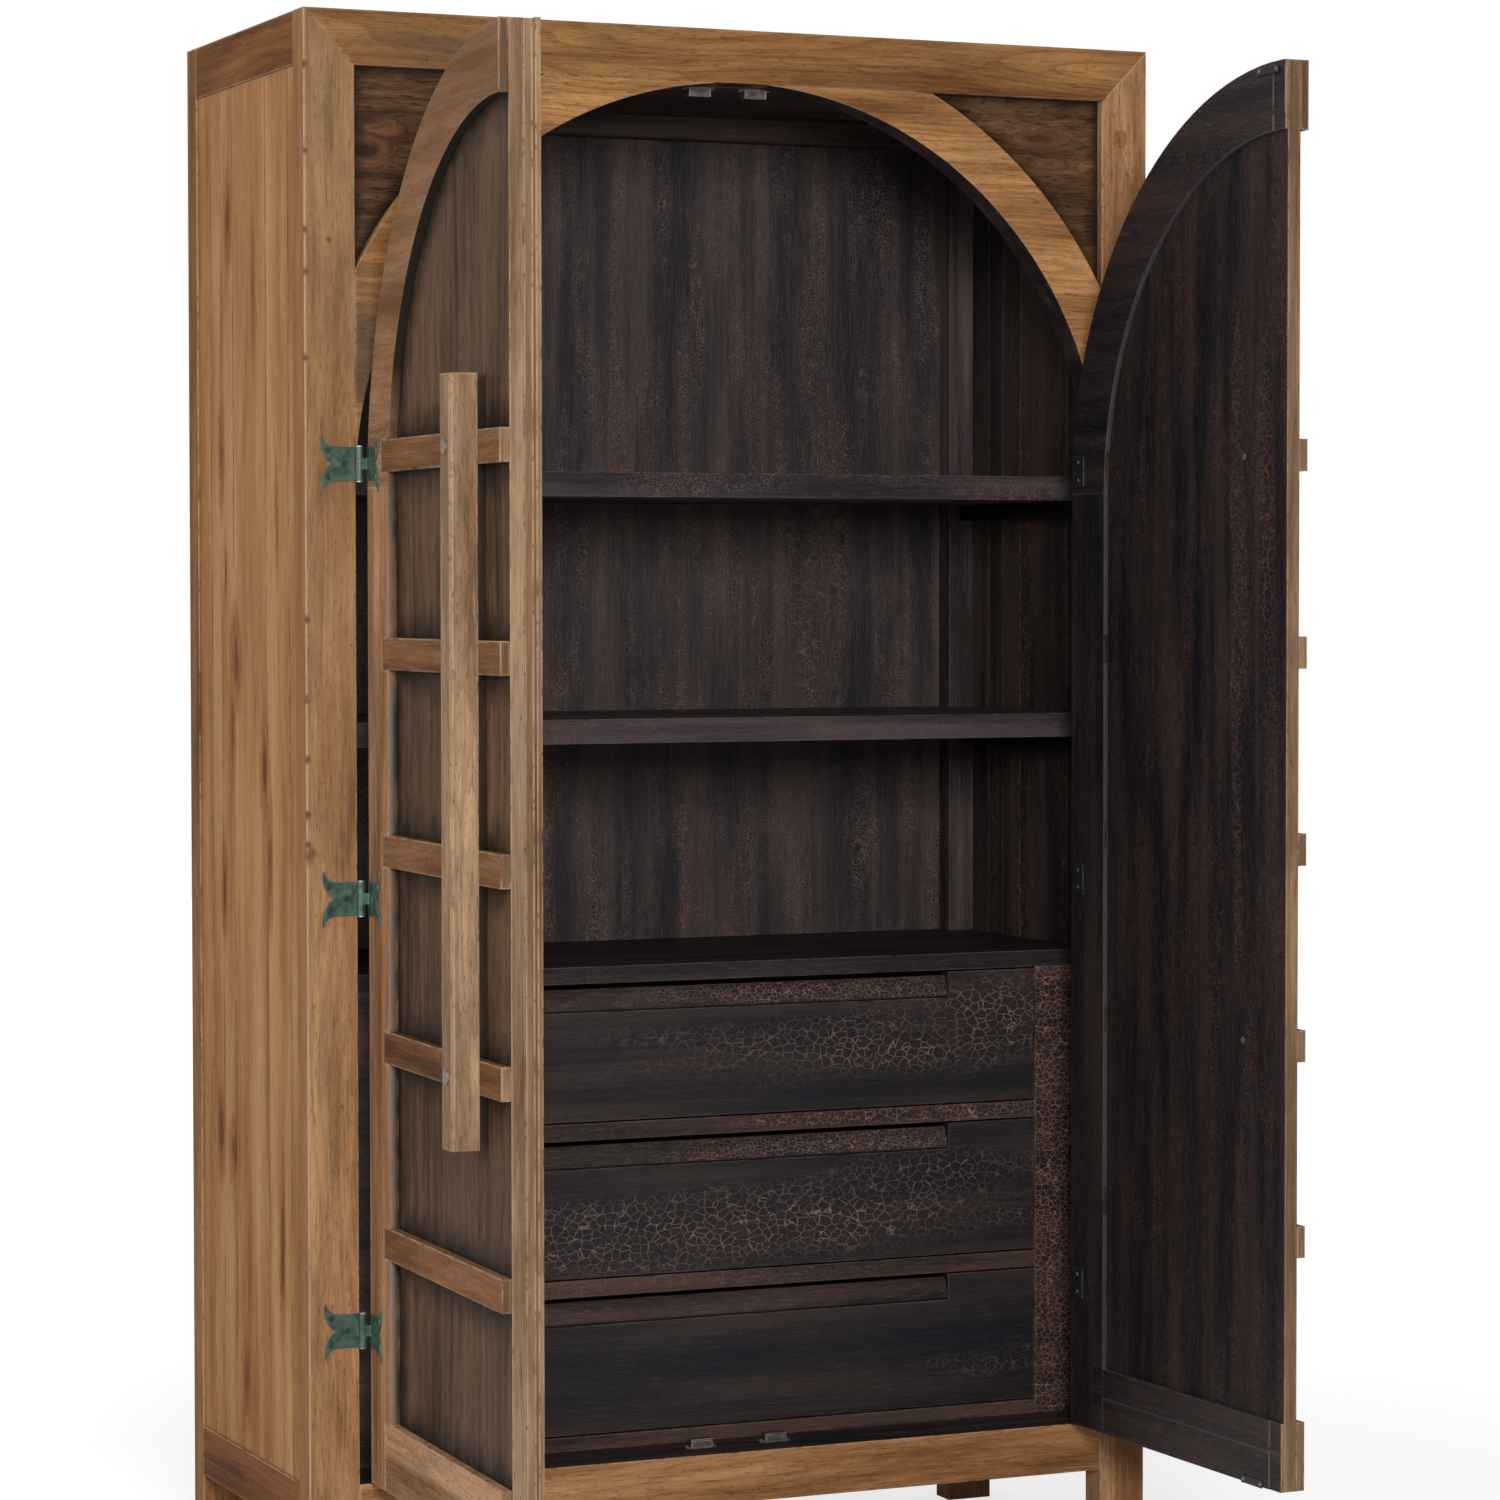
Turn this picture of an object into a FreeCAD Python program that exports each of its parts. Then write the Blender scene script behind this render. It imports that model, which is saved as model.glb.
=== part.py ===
import FreeCAD, Part
import math
import os
import re

import Sketcher

# An arched two-door wardrobe on tall square legs: a mitred front frame round an arched opening,
# planked sides, two shelves over a case of three drawers, and battened doors on butterfly hinges.
# Millimetres. X runs to the right along the front, Y into the depth, Z up from the floor.
# The origin is on the floor, in the middle of the room that the piece takes with its doors open:
# on the centre line, a little before the front frame's face.

SIZES = {
    # carcass
    "front_place": 19,
    "case_width": 1219,
    "case_depth": 518,
    "case_height": 2100,
    "post_width": 68,
    "post_depth": 42,
    "floor_height": 200,
    "floor_thickness": 18,
    "bottom_rail_height": 68,
    "top_rail_height": 70.5,
    "side_rail_height": 69,
    "side_thickness": 29.5,
    "plank_recess": 3,
    "plank_seam": 0.8,
    "back_thickness": 8,
    "back_rail_drop": 95,
    "back_rail_rounding": 8,
    "top_recess": 2,
    "top_thickness": 18,
    "ceiling_drop": 63,
    "ceiling_thickness": 12,
    "cleat_width": 600,
    "cleat_depth": 35,
    "cleat_thickness": 9,
    # arch over the opening
    "band_width": 68,
    "band_tip": 40,
    "band_seam_drop": 228,
    "spandrel_recess": 14,
    "spandrel_thickness": 12,
    # shelves and drawer case
    "shelf_setback": 95,
    "shelf_thickness": 33,
    "shelf_gap": 1.5,
    "upper_shelf_top": 1515,
    "lower_shelf_top": 1184,
    "shelf_cleat_size": 22,
    "case_top_thickness": 23,
    "case_rail_height": 23,
    "case_foot_height": 19,
    "drawer_opening_height": 188,
    "case_stile_width": 92,
    "face_frame_thickness": 22,
    "partition_thickness": 18,
    "runner_width": 34,
    "runner_thickness": 16,
    # drawers
    "drawer_side_gap": 2,
    "drawer_edge_gap": 2.5,
    "drawer_seat_gap": 0.3,
    "drawer_back_gap": 35,
    "drawer_front_thickness": 22,
    "drawer_wall": 12,
    "drawer_side_height": 160,
    "drawer_bottom_thickness": 6,
    "drawer_bottom_rise": 8,
    "pull_margin": 135,
    "pull_notch_height": 36,
    "pull_height": 30,
    "pull_top_setback": 14,
    "pull_foot_setback": 3,
    "pull_curve_radius": 45,
    # doors, closed: out from the pin's axis towards the back, in layers
    "pin_inset": 3,
    "pin_forward": 6,
    "door_gap": 3,
    "door_meeting_gap": 1.5,
    "door_face_depth": 10.5,
    "door_frame_thickness": 12,
    "door_core_thickness": 18.5,
    "door_lining_thickness": 6.3,
    "door_frame_width": 88,
    "door_rail_height": 88.5,
    "door_open_angle": 92,
    "batten_height": 41,
    "batten_lap": 27,
    "batten_low": 523,
    "batten_high_rise": 39.4,
    "astragal_base_width": 14,
    "astragal_base_thickness": 11.4,
    "astragal_lip_width": 11.5,
    "astragal_lip_thickness": 6.8,
    "rabbet_width": 26,
    "rabbet_depth": 1.5,
    "kerf": 0.4,
    # pull bars
    "handle_width": 40,
    "handle_thickness": 35,
    "handle_from_edge": 82,
    "handle_overhang": 67,
    "handle_chamfer": 3,
    "handle_screw_radius": 4,
    "handle_screw_head_radius": 9,
    "handle_screw_head_height": 2,
    "handle_screw_slot_width": 2.4,
    "handle_screw_slot_depth": 1.2,
    # hinges
    "hinge_low": 401,
    "hinge_high_rise": 31,
    "leaf_start": 3.5,
    "leaf_length": 50,
    "leaf_tip_reach": 46,
    "leaf_flare_start": 28,
    "leaf_waist_reach": 33,
    "leaf_height": 43.7,
    "leaf_tip_height": 74,
    "leaf_thickness": 2,
    "leaf_flare_radius": 18.3,
    "leaf_edge_radius": 34,
    "leaf_cutback": 6.3,
    "knuckle_radius": 5.5,
    "knuckle_gap": 0.3,
    "pin_radius": 2.5,
    "pin_clearance": 0.05,
    "pin_head_radius": 4.2,
    "pin_head_height": 1.6,
    "leaf_screw_reach": 38,
    "leaf_screw_rise": 17,
    "leaf_middle_screw_reach": 16,
    # screws, plates and catches
    "screw_head_radius": 4.2,
    "screw_head_height": 0.9,
    "screw_radius": 2,
    "screw_length": 16,
    "screw_clearance": 0.2,
    "frame_screw_length": 11,
    "plate_thickness": 1.5,
    "back_plate_width": 29,
    "back_plate_height": 42,
    "back_plate_inset": 5,
    "back_plate_screw_rise": 12,
    "strike_length": 50,
    "strike_height": 10,
    "strike_screw_spread": 20,
    "strike_top_drop": 79,
    "strike_bottom_height": 201.5,
    "plate_screw_head_radius": 2.8,
    "plate_screw_radius": 1.5,
    "catch_length": 32,
    "catch_ear_length": 44,
    "catch_ear_thickness": 2.5,
    "catch_ear_setback": 2,
    "catch_depth": 14,
    "catch_height": 13,
    "catch_gap": 0.3,
    "catch_left": 42,
    "catch_right_top": 39,
    "catch_right_bottom": 67,
    "overrun": 5,
}

# Seams between planks, as shares of the boarded width from its front edge.
SIDE_SEAM_SHARES = (0, 0.083, 0.306, 0.643, 0.772, 0.876, 1)
TOP_SEAM_SHARES = (0, 0.24, 0.52, 0.77, 1)

# Places worked out from the sizes, as expressions.
FRONT = "front_place"
BACK = "(front_place + case_depth)"
HALF = "(case_width / 2)"
BEHIND_FRONT = "(front_place + post_depth)"
BEFORE_REAR = "(front_place + case_depth - post_depth)"
BACK_FACE = "(front_place + case_depth - back_thickness)"
INSIDE = "(case_width / 2 - side_thickness)"
REACH = "(case_width / 2 - post_width)"
CROWN = "(case_height - top_rail_height)"
SPRING = f"({CROWN} - {REACH})"
BAND_RADIUS = f"({REACH} + band_width)"
BAND_LEG = f"sqrt({BAND_RADIUS}^2 - {REACH}^2)"
SHELF_FRONT = "(front_place + shelf_setback)"
CASE_FRAME_BACK = "(front_place + shelf_setback + face_frame_thickness)"
MOUTH = f"({INSIDE} - case_stile_width)"
PULL_REACH = f"({MOUTH} - pull_margin)"
BAY = "(drawer_opening_height + case_rail_height)"
FIRST_BAY = "(floor_height + case_foot_height)"
CASE_UNDER_TOP = f"({FIRST_BAY} + 2 * {BAY} + drawer_opening_height)"

DOOR_RADIUS = f"({REACH} - door_gap)"
DOOR_WIDTH = f"({REACH} - door_gap - door_meeting_gap)"
DOOR_FOOT = "(floor_height + door_gap)"
DOOR_CORE = "(door_face_depth + door_frame_thickness)"
DOOR_LINING = f"({DOOR_CORE} + door_core_thickness)"
DOOR_INNER = f"({DOOR_LINING} + door_lining_thickness)"
PIN_X = f"({REACH} - pin_inset)"
PIN_Y = f"({FRONT} - pin_forward)"
SEGMENT = "(leaf_height / 3)"
PLATE_FACE = f"({DOOR_INNER} + plate_thickness)"
CATCH_FRONT = f"({PIN_Y} + {PLATE_FACE} + catch_gap)"

# The highest hinge and batten sit a little above the springing of the arch.
HINGE_HIGH = f"({SPRING} + hinge_high_rise)"
HINGES = {"low": "hinge_low", "middle": f"((hinge_low + {HINGE_HIGH}) / 2)", "high": HINGE_HIGH}
BATTENS = 5
BATTEN_PITCH = f"(({SPRING} + batten_high_rise - batten_low) / {BATTENS - 1})"
# The pull bar crosses the battens from the second to the highest.
HANDLE_LOW = f"(batten_low + {BATTEN_PITCH})"
HANDLE_HIGH = f"({SPRING} + batten_high_rise)"
DRAWERS = ("drawer_bottom", "drawer_middle", "drawer_top")
LEFT, RIGHT = "left", "right"

doc = FreeCAD.newDocument("wardrobe")
sheet = doc.addObject("Spreadsheet::Sheet", "Sizes")
nodes = {}


def fill_sheet():
    """One row for each driving size, with its name as the value's alias."""
    for row, (name, value) in enumerate(SIZES.items(), start=1):
        sheet.set(f"A{row}", name)
        sheet.set(f"B{row}", str(value))
        sheet.setAlias(f"B{row}", name)
    doc.recompute()


def bound(text):
    """The expression with each size's name pointing at its cell."""
    def point(match):
        word = match.group()
        return f"Sizes.{word}" if word in SIZES else word
    return re.sub(r"[a-z_]+", point, text)


def number(text):
    """What the expression comes to now."""
    return float(sheet.evalExpression(bound(text)))


def minus(text):
    return f"-({text})"


def span(side, near, far):
    """A stretch measured out from the middle or a pin, low end first, on the side asked for."""
    if side == RIGHT:
        return near, far
    return minus(far), minus(near)


def door_span(side, near, far):
    """A stretch along a door from its pin, low end first: the left door runs towards +X."""
    return span(RIGHT if side == LEFT else LEFT, near, far)


def mirrored(corners):
    """The outline turned over from left to right."""
    turned = []
    for across, up, *arc in corners:
        turned.append((minus(across), up, arc[0], -arc[1]) if arc else (minus(across), up))
    return turned


def keep(label, item):
    """Makes the object a sub-part that is written out under this label."""
    item.Label = label
    nodes[label] = item
    return item


def seat(item, x="0", y="0", z="0"):
    """Binds the object's place."""
    for axis, text in zip("xyz", (x, y, z)):
        item.setExpression(f"Placement.Base.{axis}", bound(text))
    return item


def block(name, x, y, z):
    """A square-edged piece between pairs of places."""
    box = doc.addObject("Part::Box", name)
    for size, (low, high) in zip(("Length", "Width", "Height"), (x, y, z)):
        box.setExpression(size, bound(f"({high}) - ({low})"))
    return seat(box, x[0], y[0], z[0])


def rod(name, x, z, y, radius, far_radius=None):
    """A round bar or taper that runs into the depth between the two places in y."""
    kind = "Part::Cone" if far_radius else "Part::Cylinder"
    bar = doc.addObject(kind, name)
    bar.setExpression("Height", bound(f"({y[1]}) - ({y[0]})"))
    bar.setExpression("Radius1" if far_radius else "Radius", bound(radius))
    if far_radius:
        bar.setExpression("Radius2", bound(far_radius))
    into_depth = FreeCAD.Rotation(FreeCAD.Vector(0, 0, 1), FreeCAD.Vector(0, 1, 0))
    bar.Placement = FreeCAD.Placement(FreeCAD.Vector(), into_depth)
    return seat(bar, x, y[0], z)


def upright(name, x, y, z, radius):
    """A round bar that stands between the two places in z."""
    bar = doc.addObject("Part::Cylinder", name)
    bar.setExpression("Height", bound(f"({z[1]}) - ({z[0]})"))
    bar.setExpression("Radius", bound(radius))
    return seat(bar, x, y, z[0])


def group(name, pieces):
    bundle = doc.addObject("Part::Compound", name)
    bundle.Links = pieces
    return bundle


def joined(name, pieces):
    union = doc.addObject("Part::MultiFuse", name)
    union.Shapes = pieces
    return union


def cut(name, base, tools):
    """The base with all the tools taken out of it."""
    rest = doc.addObject("Part::Cut", name)
    rest.Base = base
    rest.Tool = tools[0] if len(tools) == 1 else group(f"{name}_tools", tools)
    return rest


def add_edge(sketch, start, end, arc):
    """Adds one edge and gives its number and the names of its two ends."""
    if not arc:
        return sketch.addGeometry(Part.LineSegment(start, end), False), 1, 2
    radius, turn = number(arc[0]), arc[1]
    chord = end - start
    left = FreeCAD.Vector(-chord.y, chord.x, 0).normalize()
    rise = math.sqrt(max(radius ** 2 - chord.Length ** 2 / 4, 0))
    centre = start + chord * 0.5 + left * (turn * rise)
    first, last = (start, end) if turn > 0 else (end, start)
    angles = [math.atan2(point.y - centre.y, point.x - centre.x) for point in (first, last)]
    circle = Part.Circle(centre, FreeCAD.Vector(0, 0, 1), radius)
    number_of_edge = sketch.addGeometry(Part.ArcOfCircle(circle, angles[0], angles[1]), False)
    return (number_of_edge, 1, 2) if turn > 0 else (number_of_edge, 2, 1)


def tie(sketch, kind, places, value, text):
    """Adds a dimension and binds it."""
    index = sketch.addConstraint(Sketcher.Constraint(kind, *places, value))
    sketch.setExpression(f"Constraints[{index}]", bound(text))


def tie_point(sketch, edge, end, across, up):
    tie(sketch, "DistanceX", (-1, 1, edge, end), number(across), across)
    tie(sketch, "DistanceY", (-1, 1, edge, end), number(up), up)


def draw(sketch, corners, holes):
    """A closed outline through the corners, with round holes.

    A corner is (across, up) or (across, up, radius, turn): then the edge to the next corner is an
    arc that turns left for 1 and right for -1. A hole is (across, up, radius).
    """
    points = [FreeCAD.Vector(number(corner[0]), number(corner[1]), 0) for corner in corners]
    edges = []
    for index, corner in enumerate(corners):
        following = points[(index + 1) % len(points)]
        edges.append(add_edge(sketch, points[index], following, corner[2:]))
    for index, (edge, start, end) in enumerate(edges):
        following, following_start, _ = edges[(index + 1) % len(edges)]
        sketch.addConstraint(Sketcher.Constraint("Coincident", edge, end, following, following_start))
        tie_point(sketch, edge, start, corners[index][0], corners[index][1])
        if len(corners[index]) > 2:
            radius = corners[index][2]
            tie(sketch, "Radius", (edge,), number(radius), radius)
    for across, up, radius in holes:
        centre = FreeCAD.Vector(number(across), number(up), 0)
        circle = Part.Circle(centre, FreeCAD.Vector(0, 0, 1), number(radius))
        hole = sketch.addGeometry(circle, False)
        tie_point(sketch, hole, 3, across, up)
        tie(sketch, "Radius", (hole,), number(radius), radius)


def board(name, plane, corners, low, high, holes=()):
    """A piece of one outline, drawn on its own body's plane and padded between two places."""
    body = doc.addObject("PartDesign::Body", name)
    sketch = body.newObject("Sketcher::SketchObject", f"{name}_outline")
    support = [face for face in body.Origin.OriginFeatures if face.Role == plane][0]
    sketch.AttachmentSupport = (support, [""])
    sketch.MapMode = "FlatFace"
    # The upright plane across the front looks along -Y, so its pad starts from the far side.
    offset = minus(high) if plane == "XZ_Plane" else low
    sketch.setExpression("AttachmentOffset.Base.z", bound(offset))
    draw(sketch, corners, holes)
    pad = body.newObject("PartDesign::Pad", f"{name}_pad")
    pad.Profile = sketch
    pad.setExpression("Length", bound(f"({high}) - ({low})"))
    body.Tip = pad
    return body


# Carcass frame


def post_screw_places(side):
    """Where the screws of the post's three hinge leaves go in."""
    places = []
    for height in HINGES.values():
        for reach, rise in leaf_screws():
            out = f"{PIN_X} + leaf_start + {reach}"
            places.append((out if side == RIGHT else minus(out), f"{height} + {rise}"))
    return places


def leaf_screws():
    """Screw places on a leaf: two near its tips and one in its middle."""
    return (
        ("leaf_screw_reach", "leaf_screw_rise"),
        ("leaf_screw_reach", "(-leaf_screw_rise)"),
        ("leaf_middle_screw_reach", "0"),
    )


def make_front_post(side):
    """Mitred at the top, drilled for its hinge screws."""
    corners = [(HALF, "0"), (REACH, "0"), (REACH, CROWN), (HALF, "case_height")]
    if side == LEFT:
        corners = mirrored(corners)
    label = f"front_post_{side}"
    blank = board(f"{label}_blank", "XZ_Plane", corners, FRONT, BEHIND_FRONT)
    bores = []
    for index, (x, z) in enumerate(post_screw_places(side)):
        depth = (f"{FRONT} - overrun", f"{FRONT} + screw_length")
        bores.append(rod(f"{label}_bore_{index}", x, z, depth, "screw_radius + screw_clearance"))
    keep(label, cut(label, blank, bores))


def make_frame():
    for side in (LEFT, RIGHT):
        make_front_post(side)
        x = span(side, REACH, HALF)
        label = f"rear_post_{side}"
        keep(label, block(label, x, (BEFORE_REAR, BACK), ("0", "case_height")))
    head = [(minus(HALF), "case_height"), (minus(REACH), CROWN), (REACH, CROWN), (HALF, "case_height")]
    keep("front_top_rail", board("front_top_rail", "XZ_Plane", head, FRONT, BEHIND_FRONT))
    low_rail = ("floor_height - bottom_rail_height", "floor_height")
    opening = (minus(REACH), REACH)
    rail = block("front_bottom_rail", opening, (FRONT, BEHIND_FRONT), low_rail)
    keep("front_bottom_rail", rail)
    back_low = block("back_low_rail", opening, (BEFORE_REAR, BACK_FACE), low_rail)
    back_top = make_back_top_rail()
    keep("back_rails", group("back_rails", [back_low, back_top]))


def make_back_top_rail():
    """Its lower front edge is rounded over."""
    foot = "case_height - back_rail_drop"
    corners = [
        (f"{BEFORE_REAR} + back_rail_rounding", foot),
        (BACK_FACE, foot),
        (BACK_FACE, "case_height"),
        (BEFORE_REAR, "case_height"),
        (BEFORE_REAR, f"{foot} + back_rail_rounding", "back_rail_rounding", 1),
    ]
    return board("back_top_rail", "YZ_Plane", corners, minus(REACH), REACH)


def make_arch_band(side):
    """A crescent sawn from wide boards, in two lengths with a level seam between them."""
    tip_height = f"{SPRING} + sqrt({REACH}^2 - band_tip^2)"
    foot_reach = f"sqrt({REACH}^2 - band_tip^2)"
    corners = [
        ("band_tip", CROWN),
        (BAND_LEG, CROWN, BAND_RADIUS, -1),
        (REACH, f"{SPRING} + {BAND_LEG}"),
        (REACH, f"{SPRING} + band_tip"),
        (foot_reach, f"{SPRING} + band_tip", REACH, 1),
        ("band_tip", tip_height),
    ]
    if side == LEFT:
        corners = mirrored(corners)
    label = f"arch_band_{side}"
    blank = board(f"{label}_blank", "XZ_Plane", corners, FRONT, BEHIND_FRONT)
    level = "(case_height - band_seam_drop)"
    saw = block(
        f"{label}_saw",
        span(side, "0", HALF),
        (f"{FRONT} - overrun", f"{BEHIND_FRONT} + overrun"),
        (f"{level} - kerf / 2", f"{level} + kerf / 2"),
    )
    keep(label, cut(label, blank, [saw]))


def make_spandrels():
    """Thin panels that fill the corners between the arch band, the post and the top rail."""
    corners = [
        (REACH, CROWN),
        (BAND_LEG, CROWN, BAND_RADIUS, -1),
        (REACH, f"{SPRING} + {BAND_LEG}"),
    ]
    low = f"{FRONT} + spandrel_recess"
    high = f"{FRONT} + spandrel_recess + spandrel_thickness"
    left = board("spandrel_left", "XZ_Plane", mirrored(corners), low, high)
    right = board("spandrel_right", "XZ_Plane", corners, low, high)
    keep("spandrel_panels", group("spandrel_panels", [left, right]))


def planks(name, shares, near, far, make):
    """Boards side by side between two places, parted by narrow seams."""
    pieces = []
    for index, (start, end) in enumerate(zip(shares, shares[1:])):
        low = f"{near} + ({far} - {near}) * {start}"
        high = f"{near} + ({far} - {near}) * {end}"
        if start > 0:
            low += " + plank_seam / 2"
        if end < 1:
            high += " - plank_seam / 2"
        pieces.append(make(f"{name}_{index}", (low, high)))
    return pieces


def make_side(side):
    """Two rails with upright planks between them, set back a little from the posts."""
    depth = (BEHIND_FRONT, BEFORE_REAR)
    rail = span(side, INSIDE, HALF)
    low = block(f"side_{side}_low", rail, depth, ("floor_height - bottom_rail_height", "floor_height"))
    top = block(f"side_{side}_top", rail, depth, ("case_height - side_rail_height", "case_height"))
    label = f"side_rails_{side}"
    keep(label, group(label, [low, top]))
    wall = span(side, INSIDE, f"{HALF} - plank_recess")
    height = ("floor_height", "case_height - side_rail_height")
    label = f"side_planks_{side}"
    pieces = planks(
        f"plank_{side}",
        SIDE_SEAM_SHARES,
        BEHIND_FRONT,
        BEFORE_REAR,
        lambda name, y: block(name, wall, y, height),
    )
    keep(label, group(label, pieces))


def make_covers():
    """Back, floor, ceiling and top, and the cleat that carries the upper catches."""
    inner = (minus(INSIDE), INSIDE)
    depth = (BEHIND_FRONT, BEFORE_REAR)
    low = "floor_height - bottom_rail_height"
    opening = (minus(REACH), REACH)
    keep("back_panel", block("back_panel", opening, (BACK_FACE, BACK), (low, "case_height")))
    floor = block("floor_panel", inner, depth, ("floor_height - floor_thickness", "floor_height"))
    keep("floor_panel", floor)
    ceiling = ("case_height - ceiling_drop", "case_height - ceiling_drop + ceiling_thickness")
    keep("ceiling_panel", block("ceiling_panel", inner, depth, ceiling))
    top = ("case_height - top_recess - top_thickness", "case_height - top_recess")
    pieces = planks(
        "top_plank",
        TOP_SEAM_SHARES,
        BEHIND_FRONT,
        BEFORE_REAR,
        lambda name, y: block(name, inner, y, top),
    )
    keep("top_panel", group("top_panel", pieces))
    cleat = block(
        "head_cleat",
        ("-cleat_width / 2", "cleat_width / 2"),
        (BEHIND_FRONT, f"{BEHIND_FRONT} + cleat_depth"),
        ("case_height - ceiling_drop - cleat_thickness", "case_height - ceiling_drop"),
    )
    keep("head_cleat", cleat)


# Shelves and drawer case


def notched_shelf(label, low, high):
    """A board notched round the rear posts."""
    side = f"({INSIDE} - shelf_gap)"
    neck = f"({REACH} - shelf_gap)"
    shoulder = f"({BEFORE_REAR} - shelf_gap)"
    rear = f"({BACK_FACE} - shelf_gap)"
    corners = [
        (minus(side), SHELF_FRONT),
        (side, SHELF_FRONT),
        (side, shoulder),
        (neck, shoulder),
        (neck, rear),
        (minus(neck), rear),
        (minus(neck), shoulder),
        (minus(side), shoulder),
    ]
    keep(label, board(label, "XY_Plane", corners, low, high))


def make_shelves():
    pieces = []
    for label, top in (("shelf_upper", "upper_shelf_top"), ("shelf_lower", "lower_shelf_top")):
        under = f"({top} - shelf_thickness)"
        notched_shelf(label, under, top)
        for side in (LEFT, RIGHT):
            x = span(side, f"{INSIDE} - shelf_cleat_size", INSIDE)
            y = (f"{SHELF_FRONT} + shelf_cleat_size", BEFORE_REAR)
            z = (f"{under} - shelf_cleat_size", under)
            pieces.append(block(f"{label}_cleat_{side}", x, y, z))
    keep("shelf_cleats", group("shelf_cleats", pieces))


def make_drawer_case():
    """Top board, face frame, partitions behind the stiles and runners for the drawers."""
    notched_shelf("case_top", CASE_UNDER_TOP, f"{CASE_UNDER_TOP} + case_top_thickness")
    y = (SHELF_FRONT, CASE_FRAME_BACK)
    across = (minus(MOUTH), MOUTH)
    frame = []
    walls = []
    for side in (LEFT, RIGHT):
        stile = span(side, MOUTH, f"{INSIDE} - shelf_gap")
        frame.append(block(f"case_stile_{side}", stile, y, ("floor_height", CASE_UNDER_TOP)))
        wall = span(side, MOUTH, f"{MOUTH} + partition_thickness")
        depth = (CASE_FRAME_BACK, f"{BACK_FACE} - shelf_gap")
        walls.append(block(f"case_wall_{side}", wall, depth, ("floor_height", CASE_UNDER_TOP)))
    frame.append(block("case_foot", across, y, ("floor_height", FIRST_BAY)))
    for index in range(1, len(DRAWERS)):
        high = f"{FIRST_BAY} + {index} * {BAY}"
        frame.append(block(f"case_rail_{index}", across, y, (f"{high} - case_rail_height", high)))
    keep("case_face_frame", group("case_face_frame", frame))
    keep("case_partitions", group("case_partitions", walls))
    runners = []
    for index in range(len(DRAWERS)):
        high = f"{FIRST_BAY} + {index} * {BAY}"
        for side in (LEFT, RIGHT):
            x = span(side, f"{MOUTH} - runner_width", MOUTH)
            depth = (CASE_FRAME_BACK, f"{BACK_FACE} - shelf_gap")
            runners.append(block(f"runner_{index}_{side}", x, depth, (f"{high} - runner_thickness", high)))
    keep("drawer_runners", group("drawer_runners", runners))


def make_drawer(name, index):
    """A grooved front with a sloped pull let into its top edge, and a plain box behind it."""
    bay = f"({FIRST_BAY} + {index} * {BAY})"
    foot = f"({bay} + drawer_edge_gap)"
    head = f"({bay} + drawer_opening_height - drawer_edge_gap)"
    half = f"({MOUTH} - drawer_side_gap)"
    inner_face = f"({SHELF_FRONT} + drawer_front_thickness)"
    blank = block(f"{name}_front_blank", (minus(half), half), (SHELF_FRONT, inner_face), (foot, head))
    notch = block(
        f"{name}_front_notch",
        (minus(PULL_REACH), PULL_REACH),
        (f"{SHELF_FRONT} - overrun", f"{inner_face} + overrun"),
        (f"{head} - pull_notch_height", f"{head} + overrun"),
    )
    keep(f"{name}_front", cut(f"{name}_front", blank, [notch]))
    pull_foot = f"({head} - pull_notch_height)"
    pull_head = f"({pull_foot} + pull_height)"
    corners = [
        (f"{SHELF_FRONT} + pull_foot_setback", pull_foot),
        (inner_face, pull_foot),
        (inner_face, pull_head),
        (f"{SHELF_FRONT} + pull_top_setback", pull_head, "pull_curve_radius", 1),
    ]
    strip = board(f"{name}_pull", "YZ_Plane", corners, minus(PULL_REACH), PULL_REACH)
    keep(f"{name}_pull", strip)
    rest = f"({bay} + drawer_seat_gap)"
    tall = (rest, f"{rest} + drawer_side_height")
    rear = f"({BACK_FACE} - drawer_back_gap)"
    walls = []
    for side in (LEFT, RIGHT):
        x = span(side, f"{half} - drawer_wall", half)
        walls.append(block(f"{name}_wall_{side}", x, (inner_face, rear), tall))
    inner = (f"drawer_wall - {half}", f"{half} - drawer_wall")
    walls.append(block(f"{name}_wall_back", inner, (f"{rear} - drawer_wall", rear), tall))
    keep(f"{name}_box", group(f"{name}_box", walls))
    rise = (
        f"{rest} + drawer_bottom_rise",
        f"{rest} + drawer_bottom_rise + drawer_bottom_thickness",
    )
    keep(f"{name}_bottom", block(f"{name}_bottom", inner, (inner_face, f"{rear} - drawer_wall"), rise))


# Hinges


def leaf_outline(start, notch):
    """A butterfly leaf out from the pin. Its knuckle side starts there, stepped back at a notch."""
    half = "leaf_height / 2"
    tip = "leaf_tip_height / 2"
    waist = "leaf_start + leaf_waist_reach"
    flare = "leaf_start + leaf_flare_start"
    point = "leaf_start + leaf_tip_reach"
    corners = [
        (start, minus(half)),
        (flare, minus(half), "leaf_flare_radius", -1),
        (point, minus(tip), "leaf_edge_radius", 1),
        (waist, "0", "leaf_edge_radius", 1),
        (point, tip, "leaf_flare_radius", -1),
        (flare, half),
        (start, half),
    ]
    if notch:
        step = f"{SEGMENT} / 2 + knuckle_gap"
        corners += [(start, step), (notch, step), (notch, minus(step)), (start, minus(step))]
    return corners


def leaf_holes(side_sign):
    holes = []
    for reach, rise in leaf_screws():
        across = f"leaf_start + {reach}"
        holes.append((minus(across) if side_sign < 0 else across, rise, "screw_radius + screw_clearance"))
    return holes


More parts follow.
